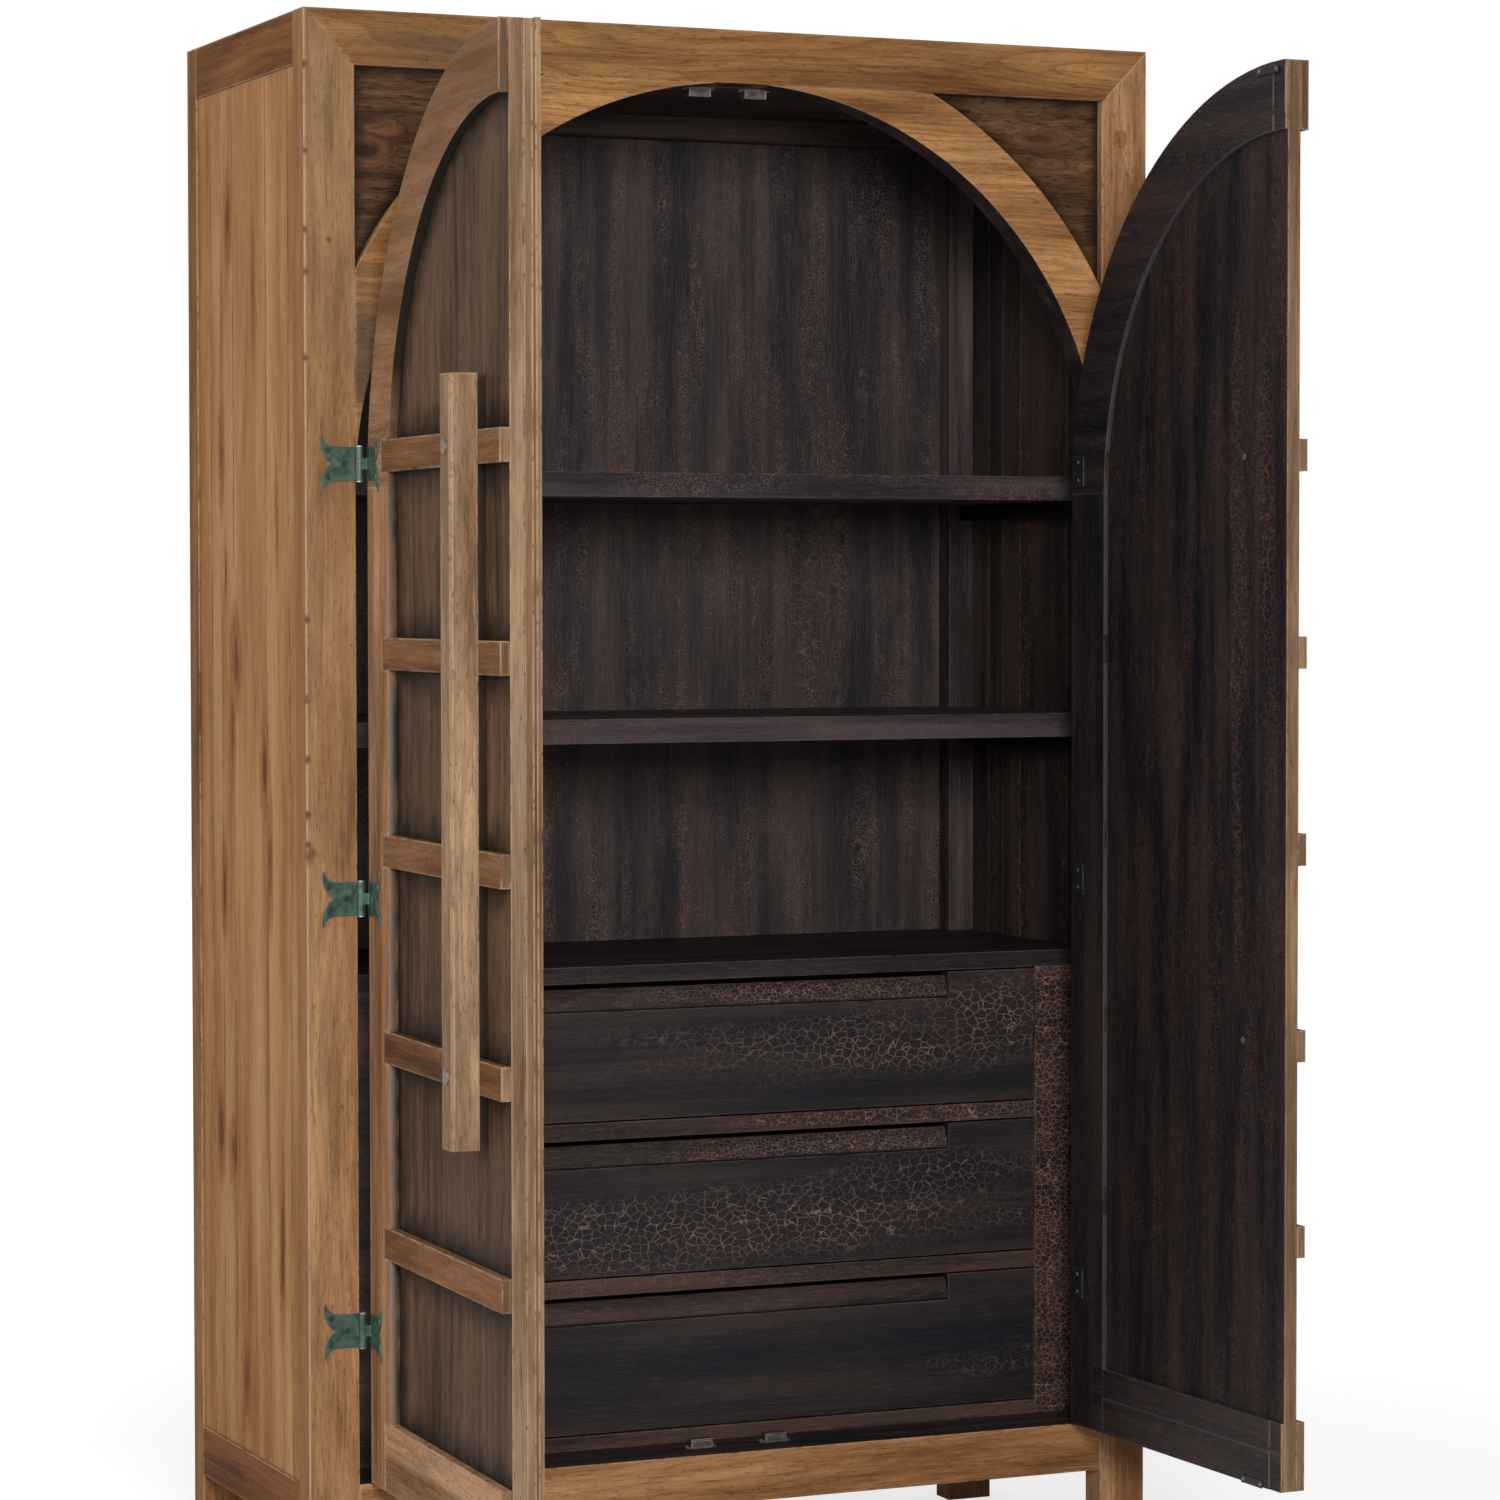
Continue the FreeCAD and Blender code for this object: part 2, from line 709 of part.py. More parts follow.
def make_leaf(name, out_sign, lapped, depth):
    """One hinge leaf round its pin at the origin: plate, neck where it stands off, and knuckles."""
    corners = leaf_outline("leaf_start" if not lapped else "0", "leaf_cutback" if lapped else None)
    if out_sign < 0:
        corners = mirrored(corners)
    plate = board(f"{name}_plate", "XZ_Plane", corners, depth[0], depth[1], leaf_holes(out_sign))
    pieces = [plate]
    half = "leaf_height / 2"
    third = f"{SEGMENT} / 2"
    if lapped:
        barrels = ((f"{third} + knuckle_gap / 2", half), (minus(half), f"-{third} - knuckle_gap / 2"))
    else:
        barrels = ((f"-{third} + knuckle_gap / 2", f"{third} - knuckle_gap / 2"),)
        neck_x = ("leaf_start", "leaf_start + leaf_thickness")
        if out_sign < 0:
            neck_x = (minus(neck_x[1]), minus(neck_x[0]))
        pieces.append(block(f"{name}_neck", neck_x, ("0", depth[1]), barrels[0]))
    for index, z in enumerate(barrels):
        pieces.append(upright(f"{name}_knuckle_{index}", "0", "0", z, "knuckle_radius"))
    solid = joined(f"{name}_solid", pieces)
    through = (f"-{half} - overrun", f"{half} + overrun")
    bore = upright(f"{name}_bore", "0", "0", through, "pin_radius + pin_clearance")
    return cut(name, solid, [bore])


def make_post_hinges():
    """The leaves, pins and screws that stay on the front posts."""
    leaves = []
    pins = []
    screws = []
    depth = ("pin_forward - leaf_thickness", "pin_forward")
    for side in (LEFT, RIGHT):
        x = PIN_X if side == RIGHT else minus(PIN_X)
        for level, height in HINGES.items():
            name = f"hinge_{level}_{side}"
            leaf = make_leaf(f"{name}_post_leaf", 1 if side == RIGHT else -1, True, depth)
            leaves.append(seat(leaf, x, PIN_Y, height))
            half = "leaf_height / 2"
            stem = upright(f"{name}_stem", x, PIN_Y, (f"{height} - {half}", f"{height} + {half}"), "pin_radius")
            caps = []
            for end, z in (("top", (half, f"{half} + pin_head_height")),
                           ("foot", (f"-{half} - pin_head_height", minus(half)))):
                z = (f"{height} + {z[0]}", f"{height} + {z[1]}")
                caps.append(upright(f"{name}_cap_{end}", x, PIN_Y, z, "pin_head_radius"))
            pins.append(joined(f"{name}_pin", [stem] + caps))
        for index, (x_screw, z) in enumerate(post_screw_places(side)):
            face = f"{FRONT} - leaf_thickness"
            screws.append(screw(f"post_screw_{side}_{index}", x_screw, z, face, "screw_length + leaf_thickness"))
    keep("hinge_post_leaves", group("hinge_post_leaves", leaves))
    keep("hinge_pins", group("hinge_pins", pins))
    keep("hinge_post_screws", group("hinge_post_screws", screws))


def screw(name, x, z, face, length, radius="screw_radius", head="screw_head_radius"):
    """A screw driven into the depth: a low bevelled head on a face, and its shank behind it."""
    shank = rod(f"{name}_shank", x, z, (face, f"{face} + {length}"), radius)
    crown = rod(f"{name}_crown", x, z, (f"{face} - screw_head_height", face), f"{head} - screw_head_height", head)
    return joined(name, [shank, crown])


def screw_back(name, x, z, face, length):
    """A small screw driven towards the front, its low head on the inner face."""
    shank = rod(f"{name}_shank", x, z, (f"{face} - {length}", face), "plate_screw_radius")
    head = "plate_screw_head_radius"
    crown = rod(f"{name}_crown", x, z, (face, f"{face} + screw_head_height"), head, f"{head} - screw_head_height")
    return joined(name, [shank, crown])


# Doors


def on_door(side, item):
    """Hangs a piece, made round its pin as if the door were shut, on the open door."""
    down = FreeCAD.Vector(0, 0, -1) if side == LEFT else FreeCAD.Vector(0, 0, 1)
    turn = FreeCAD.Rotation(down, SIZES["door_open_angle"])
    item.Placement = FreeCAD.Placement(FreeCAD.Vector(), turn)
    item.setExpression("Placement.Rotation.Angle", bound("door_open_angle * 1 deg"))
    return seat(item, minus(PIN_X) if side == LEFT else PIN_X, PIN_Y)


def along(side, text):
    return text if side == LEFT else minus(text)


def facing(side, corners):
    """Outlines are drawn for the left door and turned over for the right one."""
    return corners if side == LEFT else mirrored(corners)


def arch_height(radius, reach):
    """Height of a door's arch at a distance from the pin."""
    return f"{SPRING} + sqrt({radius}^2 - ({DOOR_RADIUS} - ({reach}))^2)"


def head_corners(end):
    """The curved head of a door's frame, from the springing to a place near the free edge."""
    inner = f"({DOOR_RADIUS} - door_frame_width)"
    return [
        ("0", SPRING),
        ("door_frame_width", SPRING, inner, -1),
        (end, arch_height(inner, end)),
        (end, arch_height(DOOR_RADIUS, end), DOOR_RADIUS, 1),
    ]


def batten_middle(index):
    return f"(batten_low + {index} * {BATTEN_PITCH})"


def batten_blocks(side, name):
    pieces = []
    for index in range(BATTENS):
        middle = batten_middle(index)
        x = door_span(side, "door_frame_width - batten_lap", DOOR_WIDTH)
        z = (f"{middle} - batten_height / 2", f"{middle} + batten_height / 2")
        pieces.append(block(f"{name}_{index}", x, ("door_face_depth", DOOR_CORE), z))
    return pieces


def door_leaf_screw_places(side):
    places = []
    for height in HINGES.values():
        for reach, rise in leaf_screws():
            places.append((along(side, f"leaf_start + {reach}"), f"{height} + {rise}"))
    return places


def handle_screw_places(side):
    """One large screw at the outermost battens that the bar crosses."""
    x = along(side, f"{DOOR_WIDTH} - handle_from_edge - handle_width / 2")
    return [(x, height) for height in (HANDLE_LOW, HANDLE_HIGH)]


def plate_places(side):
    """Back plates behind the hinges: centre, and the screws' offsets across and up."""
    x = along(side, "back_plate_inset + back_plate_width / 2")
    places = []
    for height in HINGES.values():
        places.append((x, height, "0", "back_plate_screw_rise"))
    return places


def strike_places(side):
    """Strike plates at the free corners, opposite the catches."""
    top = "catch_left" if side == LEFT else "catch_right_top"
    low = "catch_left" if side == LEFT else "catch_right_bottom"
    top_z = "case_height - strike_top_drop - strike_height / 2"
    low_z = "strike_bottom_height + strike_height / 2"
    places = []
    for offset, z in ((top, top_z), (low, low_z)):
        places.append((along(side, f"{PIN_X} - {offset}"), z, "strike_screw_spread", "0"))
    return places


def plate_screw_places(side):
    places = []
    for x, z, across, up in plate_places(side) + strike_places(side):
        places.append((f"{x} + {across}", f"{z} + {up}"))
        places.append((f"{x} - {across}", f"{z} - {up}"))
    return places


def lining_bores(side, name):
    """Pilot holes in the inner frame for the plates' screws."""
    bores = []
    for index, (x, z) in enumerate(plate_screw_places(side)):
        depth = (f"{DOOR_LINING} - overrun", f"{DOOR_INNER} + overrun")
        bores.append(rod(f"{name}_{index}", x, z, depth, "plate_screw_radius + screw_clearance"))
    return bores


def make_door_boards(side):
    """The boarded core, the proud frame outside and the lining frame inside."""
    pre = f"{side}_door"
    outline = [
        ("0", DOOR_FOOT),
        (DOOR_WIDTH, DOOR_FOOT),
        (DOOR_WIDTH, arch_height(DOOR_RADIUS, DOOR_WIDTH), DOOR_RADIUS, 1),
        ("0", SPRING),
    ]
    blank = board(f"{pre}_core", "XZ_Plane", facing(side, outline), DOOR_CORE, DOOR_LINING)
    bores = []
    for index, (x, z) in enumerate(handle_screw_places(side)):
        depth = (f"{DOOR_CORE} - overrun", f"{DOOR_LINING} + overrun")
        bores.append(rod(f"{pre}_core_bore_{index}", x, z, depth, "handle_screw_radius + screw_clearance"))
    keep(f"{pre}_panel", on_door(side, cut(f"{pre}_panel", blank, bores)))
    make_outer_frame(side, pre)
    make_inner_frame(side, pre)


def make_outer_frame(side, pre):
    """Stile, curved head and foot rail. The battens are let into the stile."""
    layer = ("door_face_depth", DOOR_CORE)
    foot = f"({DOOR_FOOT} + door_rail_height)"
    lap = "(door_frame_width - batten_lap)"
    stile = [
        ("0", DOOR_FOOT),
        (lap, DOOR_FOOT),
        (lap, foot),
        ("door_frame_width", foot),
        ("door_frame_width", SPRING),
        ("0", SPRING),
    ]
    pieces = [
        board(f"{pre}_stile", "XZ_Plane", facing(side, stile), *layer),
        board(f"{pre}_head", "XZ_Plane", facing(side, head_corners(DOOR_WIDTH)), *layer),
        block(f"{pre}_foot_rail", door_span(side, lap, DOOR_WIDTH), layer, (DOOR_FOOT, foot)),
    ]
    tools = batten_blocks(side, f"{pre}_batten_seat")
    for index, (x, z) in enumerate(door_leaf_screw_places(side)):
        depth = ("door_face_depth - overrun", "door_face_depth + frame_screw_length")
        tools.append(rod(f"{pre}_frame_bore_{index}", x, z, depth, "screw_radius + screw_clearance"))
    frame = cut(f"{pre}_outer_frame", group(f"{pre}_outer_boards", pieces), tools)
    keep(f"{pre}_outer_frame", on_door(side, frame))
    bores = []
    for index, (x, z) in enumerate(handle_screw_places(side)):
        depth = ("door_face_depth - overrun", f"{DOOR_CORE} + overrun")
        bores.append(rod(f"{pre}_batten_bore_{index}", x, z, depth, "handle_screw_radius + screw_clearance"))
    boards = group(f"{pre}_batten_boards", batten_blocks(side, f"{pre}_batten"))
    keep(f"{pre}_battens", on_door(side, cut(f"{pre}_battens", boards, bores)))


def make_inner_frame(side, pre):
    """The same frame in thin boards on the inside. It stops at the astragal on the left door."""
    end = f"({DOOR_WIDTH} - astragal_base_width)" if side == LEFT else DOOR_WIDTH
    layer = (DOOR_LINING, DOOR_INNER)
    foot = f"({DOOR_FOOT} + door_rail_height)"
    pieces = [
        block(f"{pre}_lining_stile", door_span(side, "0", "door_frame_width"), layer, (DOOR_FOOT, SPRING)),
        board(f"{pre}_lining_head", "XZ_Plane", facing(side, head_corners(end)), *layer),
        block(f"{pre}_lining_foot", door_span(side, "door_frame_width", end), layer, (DOOR_FOOT, foot)),
    ]
    tools = lining_bores(side, f"{pre}_lining_bore")
    if side == RIGHT:
        step = door_span(side, f"{DOOR_WIDTH} - rabbet_width", f"{DOOR_WIDTH} + overrun")
        depth = (f"{DOOR_INNER} - rabbet_depth", f"{DOOR_INNER} + overrun")
        height = (f"{DOOR_FOOT} - overrun", "case_height")
        tools.append(block(f"{pre}_rabbet", step, depth, height))
    frame = cut(f"{pre}_inner_frame", group(f"{pre}_inner_boards", pieces), tools)
    keep(f"{pre}_inner_frame", on_door(side, frame))


def make_astragal():
    """A stepped strip on the left door whose lip closes the gap behind the right one."""
    base = f"({DOOR_WIDTH} - astragal_base_width)"
    step = f"({DOOR_LINING} + astragal_base_thickness)"
    tip = f"({DOOR_WIDTH} + astragal_lip_width)"
    back = f"({step} + astragal_lip_thickness)"
    corners = [
        (base, DOOR_LINING),
        (DOOR_WIDTH, DOOR_LINING),
        (DOOR_WIDTH, step),
        (tip, step),
        (tip, back),
        (base, back),
    ]
    top = f"{arch_height(DOOR_RADIUS, base)}"
    strip = board("left_door_astragal", "XY_Plane", corners, DOOR_FOOT, top)
    keep("left_door_astragal", on_door(LEFT, strip))


def make_handle(side):
    """A tall square bar over the battens, with its long edges eased and two large screws."""
    pre = f"{side}_door"
    near = f"({DOOR_WIDTH} - handle_from_edge - handle_width)"
    far = f"({DOOR_WIDTH} - handle_from_edge)"
    front = "(door_face_depth - handle_thickness)"
    back = "door_face_depth"
    ease = "handle_chamfer"
    corners = [
        (near, back),
        (near, f"{front} + {ease}"),
        (f"{near} + {ease}", front),
        (f"{far} - {ease}", front),
        (far, f"{front} + {ease}"),
        (far, back),
    ]
    foot = f"{HANDLE_LOW} - batten_height / 2 - handle_overhang"
    head = f"{HANDLE_HIGH} + batten_height / 2 + handle_overhang"
    blank = board(f"{pre}_bar", "XY_Plane", facing(side, corners), foot, head)
    bores = []
    for index, (x, z) in enumerate(handle_screw_places(side)):
        depth = (f"{front} - overrun", f"{back} + overrun")
        bores.append(rod(f"{pre}_bar_bore_{index}", x, z, depth, "handle_screw_radius + screw_clearance"))
    keep(f"{pre}_handle", on_door(side, cut(f"{pre}_handle", blank, bores)))


def handle_screw(name, x, z):
    """A wide slotted screw through bar, batten and core."""
    front = "(door_face_depth - handle_thickness)"
    face = f"({front} - handle_screw_head_height)"
    shank = rod(f"{name}_shank", x, z, (front, DOOR_LINING), "handle_screw_radius")
    crown = rod(f"{name}_crown", x, z, (face, front), "handle_screw_head_radius")
    solid = joined(f"{name}_solid", [shank, crown])
    slot = block(
        f"{name}_slot",
        (f"{x} - handle_screw_head_radius - overrun", f"{x} + handle_screw_head_radius + overrun"),
        (f"{face} - overrun", f"{face} + handle_screw_slot_depth"),
        (f"{z} - handle_screw_slot_width / 2", f"{z} + handle_screw_slot_width / 2"),
    )
    return cut(name, solid, [slot])


def make_door_hardware(side):
    """Hinge leaves, back plates, strike plates and all the door's screws."""
    pre = f"{side}_door"
    sign = 1 if side == LEFT else -1
    depth = ("door_face_depth - leaf_thickness", "door_face_depth")
    leaves = []
    for level, height in HINGES.items():
        leaves.append(seat(make_leaf(f"{pre}_leaf_{level}", sign, False, depth), z=height))
    keep(f"{pre}_hinge_leaves", on_door(side, group(f"{pre}_hinge_leaves", leaves)))
    plates = []
    layer = (DOOR_INNER, PLATE_FACE)
    for places, wide, tall in (
        (plate_places(side), "back_plate_width", "back_plate_height"),
        (strike_places(side), "strike_length", "strike_height"),
    ):
        for x, z, *_ in places:
            x_span = (f"{x} - {wide} / 2", f"{x} + {wide} / 2")
            z_span = (f"{z} - {tall} / 2", f"{z} + {tall} / 2")
            plates.append(block(f"{pre}_plate_{len(plates)}", x_span, layer, z_span))
    bores = []
    for index, (x, z) in enumerate(plate_screw_places(side)):
        through = (f"{DOOR_INNER} - overrun", f"{PLATE_FACE} + overrun")
        bores.append(rod(f"{pre}_plate_bore_{index}", x, z, through, "plate_screw_radius + screw_clearance"))
    keep(f"{pre}_plates", on_door(side, cut(f"{pre}_plates", group(f"{pre}_plate_blanks", plates), bores)))
    screws = []
    for index, (x, z) in enumerate(door_leaf_screw_places(side)):
        face = "door_face_depth - leaf_thickness"
        screws.append(screw(f"{pre}_screw_{index}", x, z, face, "frame_screw_length + leaf_thickness"))
    for index, (x, z) in enumerate(plate_screw_places(side)):
        length = "door_lining_thickness + plate_thickness"
        screws.append(screw_back(f"{pre}_plate_screw_{index}", x, z, PLATE_FACE, length))
    for index, (x, z) in enumerate(handle_screw_places(side)):
        screws.append(handle_screw(f"{pre}_handle_screw_{index}", x, z))
    keep(f"{pre}_screws", on_door(side, group(f"{pre}_screws", screws)))


def make_catches():
    """Four magnetic catches: two hang from the head cleat and two stand on the floor."""
    underside = "(case_height - ceiling_drop - cleat_thickness)"
    places = (
        (minus("catch_left"), underside, True),
        ("catch_right_top", underside, True),
        (minus("catch_left"), "floor_height", False),
        ("catch_right_bottom", "floor_height", False),
    )
    pieces = []
    for index, (x, z, hangs) in enumerate(places):
        sign = "-" if hangs else "+"
        y = (CATCH_FRONT, f"{CATCH_FRONT} + catch_depth")
        ear_y = (f"{CATCH_FRONT} + catch_ear_setback", y[1])
        case_z = (z, f"{z} {sign} catch_height")
        ear_z = (z, f"{z} {sign} catch_ear_thickness")
        if hangs:
            case_z, ear_z = case_z[::-1], ear_z[::-1]
        case = block(f"catch_case_{index}", (f"{x} - catch_length / 2", f"{x} + catch_length / 2"), y, case_z)
        ears = (f"{x} - catch_ear_length / 2", f"{x} + catch_ear_length / 2")
        pieces.append(joined(f"catch_{index}", [case, block(f"catch_ear_{index}", ears, ear_y, ear_z)]))
    keep("magnetic_catches", group("magnetic_catches", pieces))


def check():
    """Stops on any failed object or bad shape."""
    for item in doc.Objects:
        if "Invalid" in item.State or "Error" in item.State:
            raise RuntimeError(f"{item.Label} failed: {item.State}")
    for label, item in nodes.items():
        if item.Shape.isNull() or not item.Shape.isValid():
            raise RuntimeError(f"{label} has a bad shape")


def write():
    os.makedirs("parts", exist_ok=True)
    for label, item in nodes.items():
        item.Shape.exportStep(f"parts/{label}.step")
        box = item.Shape.BoundBox
        corners = [round(value, 1) for value in (box.XMin, box.XMax, box.YMin, box.YMax, box.ZMin, box.ZMax)]
        print(label, len(item.Shape.Solids), corners)


fill_sheet()
make_frame()
make_spandrels()
make_covers()
make_shelves()
make_drawer_case()
for position, drawer in enumerate(DRAWERS):
    make_drawer(drawer, position)
make_post_hinges()
make_catches()
for hand in (LEFT, RIGHT):
    make_arch_band(hand)
    make_side(hand)
    make_door_boards(hand)
    make_handle(hand)
    make_door_hardware(hand)
make_astragal()
doc.recompute()
check()
write()
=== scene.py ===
import math
from functools import partial

import bpy
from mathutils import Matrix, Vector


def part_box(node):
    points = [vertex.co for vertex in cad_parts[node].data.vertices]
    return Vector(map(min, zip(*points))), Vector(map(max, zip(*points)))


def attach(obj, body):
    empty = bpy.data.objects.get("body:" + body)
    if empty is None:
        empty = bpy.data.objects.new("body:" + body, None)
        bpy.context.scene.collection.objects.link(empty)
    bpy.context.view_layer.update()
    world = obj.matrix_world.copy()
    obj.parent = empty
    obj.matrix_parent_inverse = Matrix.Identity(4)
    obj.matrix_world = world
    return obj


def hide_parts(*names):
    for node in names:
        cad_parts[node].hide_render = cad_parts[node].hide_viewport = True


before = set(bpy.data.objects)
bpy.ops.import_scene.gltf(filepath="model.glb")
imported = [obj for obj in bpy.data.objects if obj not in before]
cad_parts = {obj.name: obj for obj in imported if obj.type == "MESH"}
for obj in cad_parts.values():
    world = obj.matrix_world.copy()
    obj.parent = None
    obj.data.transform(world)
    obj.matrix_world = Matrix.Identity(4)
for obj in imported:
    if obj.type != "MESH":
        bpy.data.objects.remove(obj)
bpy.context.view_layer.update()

# Room. A pale studio floor that runs on into white, and a camera that stands to the left of the
# wardrobe at chest height, with a long lens. Two square softboxes light it from front and left.
scene = bpy.context.scene
scene.view_settings.view_transform = "Standard"

camera = bpy.data.cameras.new("studio_camera")
camera.sensor_width = 36
camera.lens = 106.736
camera.clip_end = 200
stand = bpy.data.objects.new("studio_camera", camera)
stand.location = (-2.36984, -5.42581, 1.35366)
stand.rotation_euler = [math.radians(angle) for angle in (87.9704, 0.0631, -23.6184)]
scene.collection.objects.link(stand)
scene.camera = stand


def linear(colour):
    """The linear value of an sRGB hex colour."""
    parts = [int(colour[place : place + 2], 16) / 255 for place in (1, 3, 5)]
    return [part / 12.92 if part <= 0.04045 else ((part + 0.055) / 1.055) ** 2.4 for part in parts] + [1.0]


def add(tree, kind, sockets=(), out=0, stops=(), **settings):
    """Adds a node with its settings and its sockets' values or links, and gives one output."""
    node = tree.nodes.new("ShaderNode" + kind)
    for name, value in settings.items():
        setattr(node, name, value)
    for key, value in dict(sockets).items():
        if isinstance(value, bpy.types.NodeSocket):
            tree.links.new(value, node.inputs[key])
        else:
            node.inputs[key].default_value = linear(value) if isinstance(value, str) else value
    if stops:
        ramp = node.color_ramp.elements
        while len(ramp) < len(stops):
            ramp.new(1.0)
        for element, (position, colour) in zip(ramp, stops):
            element.position = position
            element.color = linear(colour) if isinstance(colour, str) else [colour] * 3 + [1.0]
    return node if out is None else node.outputs[out]


def start(name):
    """A new material with its tree emptied, and the place on the piece that it reads."""
    material = bpy.data.materials.new(name)
    material.use_nodes = True
    material.node_tree.nodes.clear()
    return material, material.node_tree, add(material.node_tree, "TexCoord", out="Object")


def seen(tree, *kinds):
    """One for these kinds of rays, and nought for the light that falls on the wardrobe."""
    rays = add(tree, "LightPath", out=None)
    share = 0.0
    for kind in kinds:
        share = add(tree, "Math", {0: share, 1: rays.outputs[kind]}, operation="MAXIMUM")
    return share


# Matt emulsion on the studio floor: light grey that keeps the shadow, and runs out into white.
floor_paint, tree, place = start("pale_floor_paint")
matt = add(tree, "BsdfDiffuse", {"Color": "#c8c8c8"})
far = add(tree, "VectorMath", {0: place}, "Value", operation="LENGTH")
lift = add(tree, "MapRange", {"Value": far, "From Min": 1.5, "From Max": 4.0, "To Min": 0.7})
lift = add(tree, "Math", {0: seen(tree, "Is Camera Ray", "Is Glossy Ray"), 1: lift}, operation="MULTIPLY")
glow = add(tree, "Emission", {"Color": "#ffffff", "Strength": lift})
add(tree, "OutputMaterial", {"Surface": add(tree, "AddShader", {0: matt, 1: glow})}, out=None)
bpy.ops.object.select_all(action="DESELECT")
bpy.ops.mesh.primitive_circle_add(vertices=96, radius=14, fill_type="NGON", location=(0, 0, 0))
floor = bpy.context.object
floor.name = "studio_floor"
floor.data.materials.append(floor_paint)

world = bpy.data.worlds.new("studio_air")
scene.world = world
world.use_nodes = True
world.node_tree.nodes.clear()
tree = world.node_tree
white = seen(tree, "Is Camera Ray", "Is Glossy Ray", "Is Transmission Ray")
level = add(tree, "MapRange", {"Value": white, "To Min": 0.3})
air = add(tree, "Background", {"Color": "#ffffff", "Strength": level})
add(tree, "OutputWorld", {"Surface": air}, out=None)

for name, place, turn, size, power in (
    ("front_softbox", (-1.7, -5.3, 2.3), (78, 0, -18), 1.3, 225),
    ("left_softbox", (-5.0, -1.6, 2.2), (77, 0, -67), 2.0, 112),
):
    lamp = bpy.data.lights.new(name, "AREA")
    lamp.shape = "SQUARE"
    lamp.size = size
    lamp.energy = power
    holder = bpy.data.objects.new(name, lamp)
    holder.location = place
    holder.rotation_euler = [math.radians(angle) for angle in turn]
    scene.collection.objects.link(holder)


# Front frame. Posts and top rail mitred together, a bottom rail, and a curved band in two lengths a
# side round the arch, all sawn from oak. Its faces inside are painted black with the interior.
SPRING, CROWN, REACH = 1.488, 2.0295, 0.5415
FRAME_FRONT, FRAME_BACK = 0.019, 0.061
POST_SIDE, LEG_HEAD, RAIL_TOP = 0.6095, 0.19, 0.2
# Paint that ends at an edge starts this far from it, so that both faces keep their own.
SKIN = 0.0004


def coat(nodes, material):
    """Gives the finish to carried-over pieces."""
    for name in nodes:
        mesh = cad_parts[name].data
        mesh.materials.clear()
        mesh.materials.append(material)


def lay(tree, place, along, board=0.0):
    """The place with the board's length on Z, in a piece of wood of its own."""
    turn = {"X": (0, math.pi / 2, 0), "Y": (math.pi / 2, 0, 0), "Z": (0, 0, 0)}[along]
    piece_of_wood = (board, board * 0.7, board * 1.3)
    return add(tree, "Mapping", {"Vector": place, "Location": piece_of_wood, "Rotation": turn})


def fibres(tree, grain, across, length, detail=2.0, low=0.0, high=1.0, peak=1.0, rough=0.55):
    """Cells drawn out along the board, across by length in metres, from low to high."""
    stretched = add(tree, "Mapping", {"Vector": grain, "Scale": (1 / across, 1 / across, 1 / length)})
    noise = add(tree, "TexNoise", {"Vector": stretched, "Scale": 1.0, "Detail": detail, "Roughness": rough})
    return add(tree, "MapRange", {"Value": noise, "From Min": low, "From Max": high, "To Max": peak})


def mixed(tree, *shares):
    """Values summed up by their shares round a middle of one half."""
    total = 0.5 - sum(share for value, share in shares) / 2
    for value, share in shares:
        total = add(tree, "Math", {0: value, 1: share, 2: total}, operation="MULTIPLY_ADD")
    return total


def stained(tree, colour, *coats):
    """Coats of colour laid over one another, each by its share."""
    for share, shade in coats:
        colour = add(tree, "Mix", {0: share, 6: colour, 7: shade}, 2, data_type="RGBA")
    return colour


def spots(tree, place, places):
    """Ragged soft spots: middle and half sizes of each, and how strong it is."""
    ragged = add(tree, "TexNoise", {"Vector": place, "Scale": 70.0, "Detail": 2.0}, "Color")
    ragged = add(tree, "VectorMath", {0: ragged, 1: (-0.5, -0.5, -0.5)}, operation="ADD")
    ragged = add(tree, "VectorMath", {0: ragged, "Scale": 0.012}, operation="SCALE")
    place = add(tree, "VectorMath", {0: place, 1: ragged}, operation="ADD")
    value = 0.0
    for middle, half, rise in places:
        own = {"Vector": place, "Location": middle, "Scale": half}
        own = add(tree, "Mapping", own, vector_type="TEXTURE")
        far = add(tree, "VectorMath", {0: own}, "Value", operation="LENGTH")
        near = add(tree, "MapRange", {"Value": far, "From Min": 1.0, "From Max": 0.2, "To Max": rise})
        value = add(tree, "Math", {0: value, 1: near}, operation="MAXIMUM")
    return value


def worn_arris(tree, place, rub, reach=0.0025):
    """How far a place is rubbed pale along edges, how far nicked, and the edges' rounding."""
    rounded = add(tree, "Bevel", {"Radius": reach}, samples=4)
    flat = add(tree, "NewGeometry", out="Normal")
    near = add(tree, "VectorMath", {0: rounded, 1: flat}, "Value", operation="DOT_PRODUCT")
    edge = add(tree, "MapRange", {"Value": near, "From Min": 0.999, "From Max": 0.95})
    patchy = add(tree, "TexNoise", {"Vector": place, "Scale": 24.0, "Detail": 2.0})
    nicked = add(tree, "TexNoise", {"Vector": place, "Scale": 85.0, "Detail": 1.0})
    worn = add(tree, "MapRange", {"Value": patchy, "From Min": 0.3, "From Max": 0.52, "To Max": rub})
    nick = add(tree, "MapRange", {"Value": nicked, "From Min": 0.62, "From Max": 0.67, "To Max": 0.7})
    worn = add(tree, "Math", {0: edge, 1: worn}, operation="MULTIPLY")
    nick = add(tree, "Math", {0: edge, 1: nick}, operation="MULTIPLY")
    return worn, nick, rounded


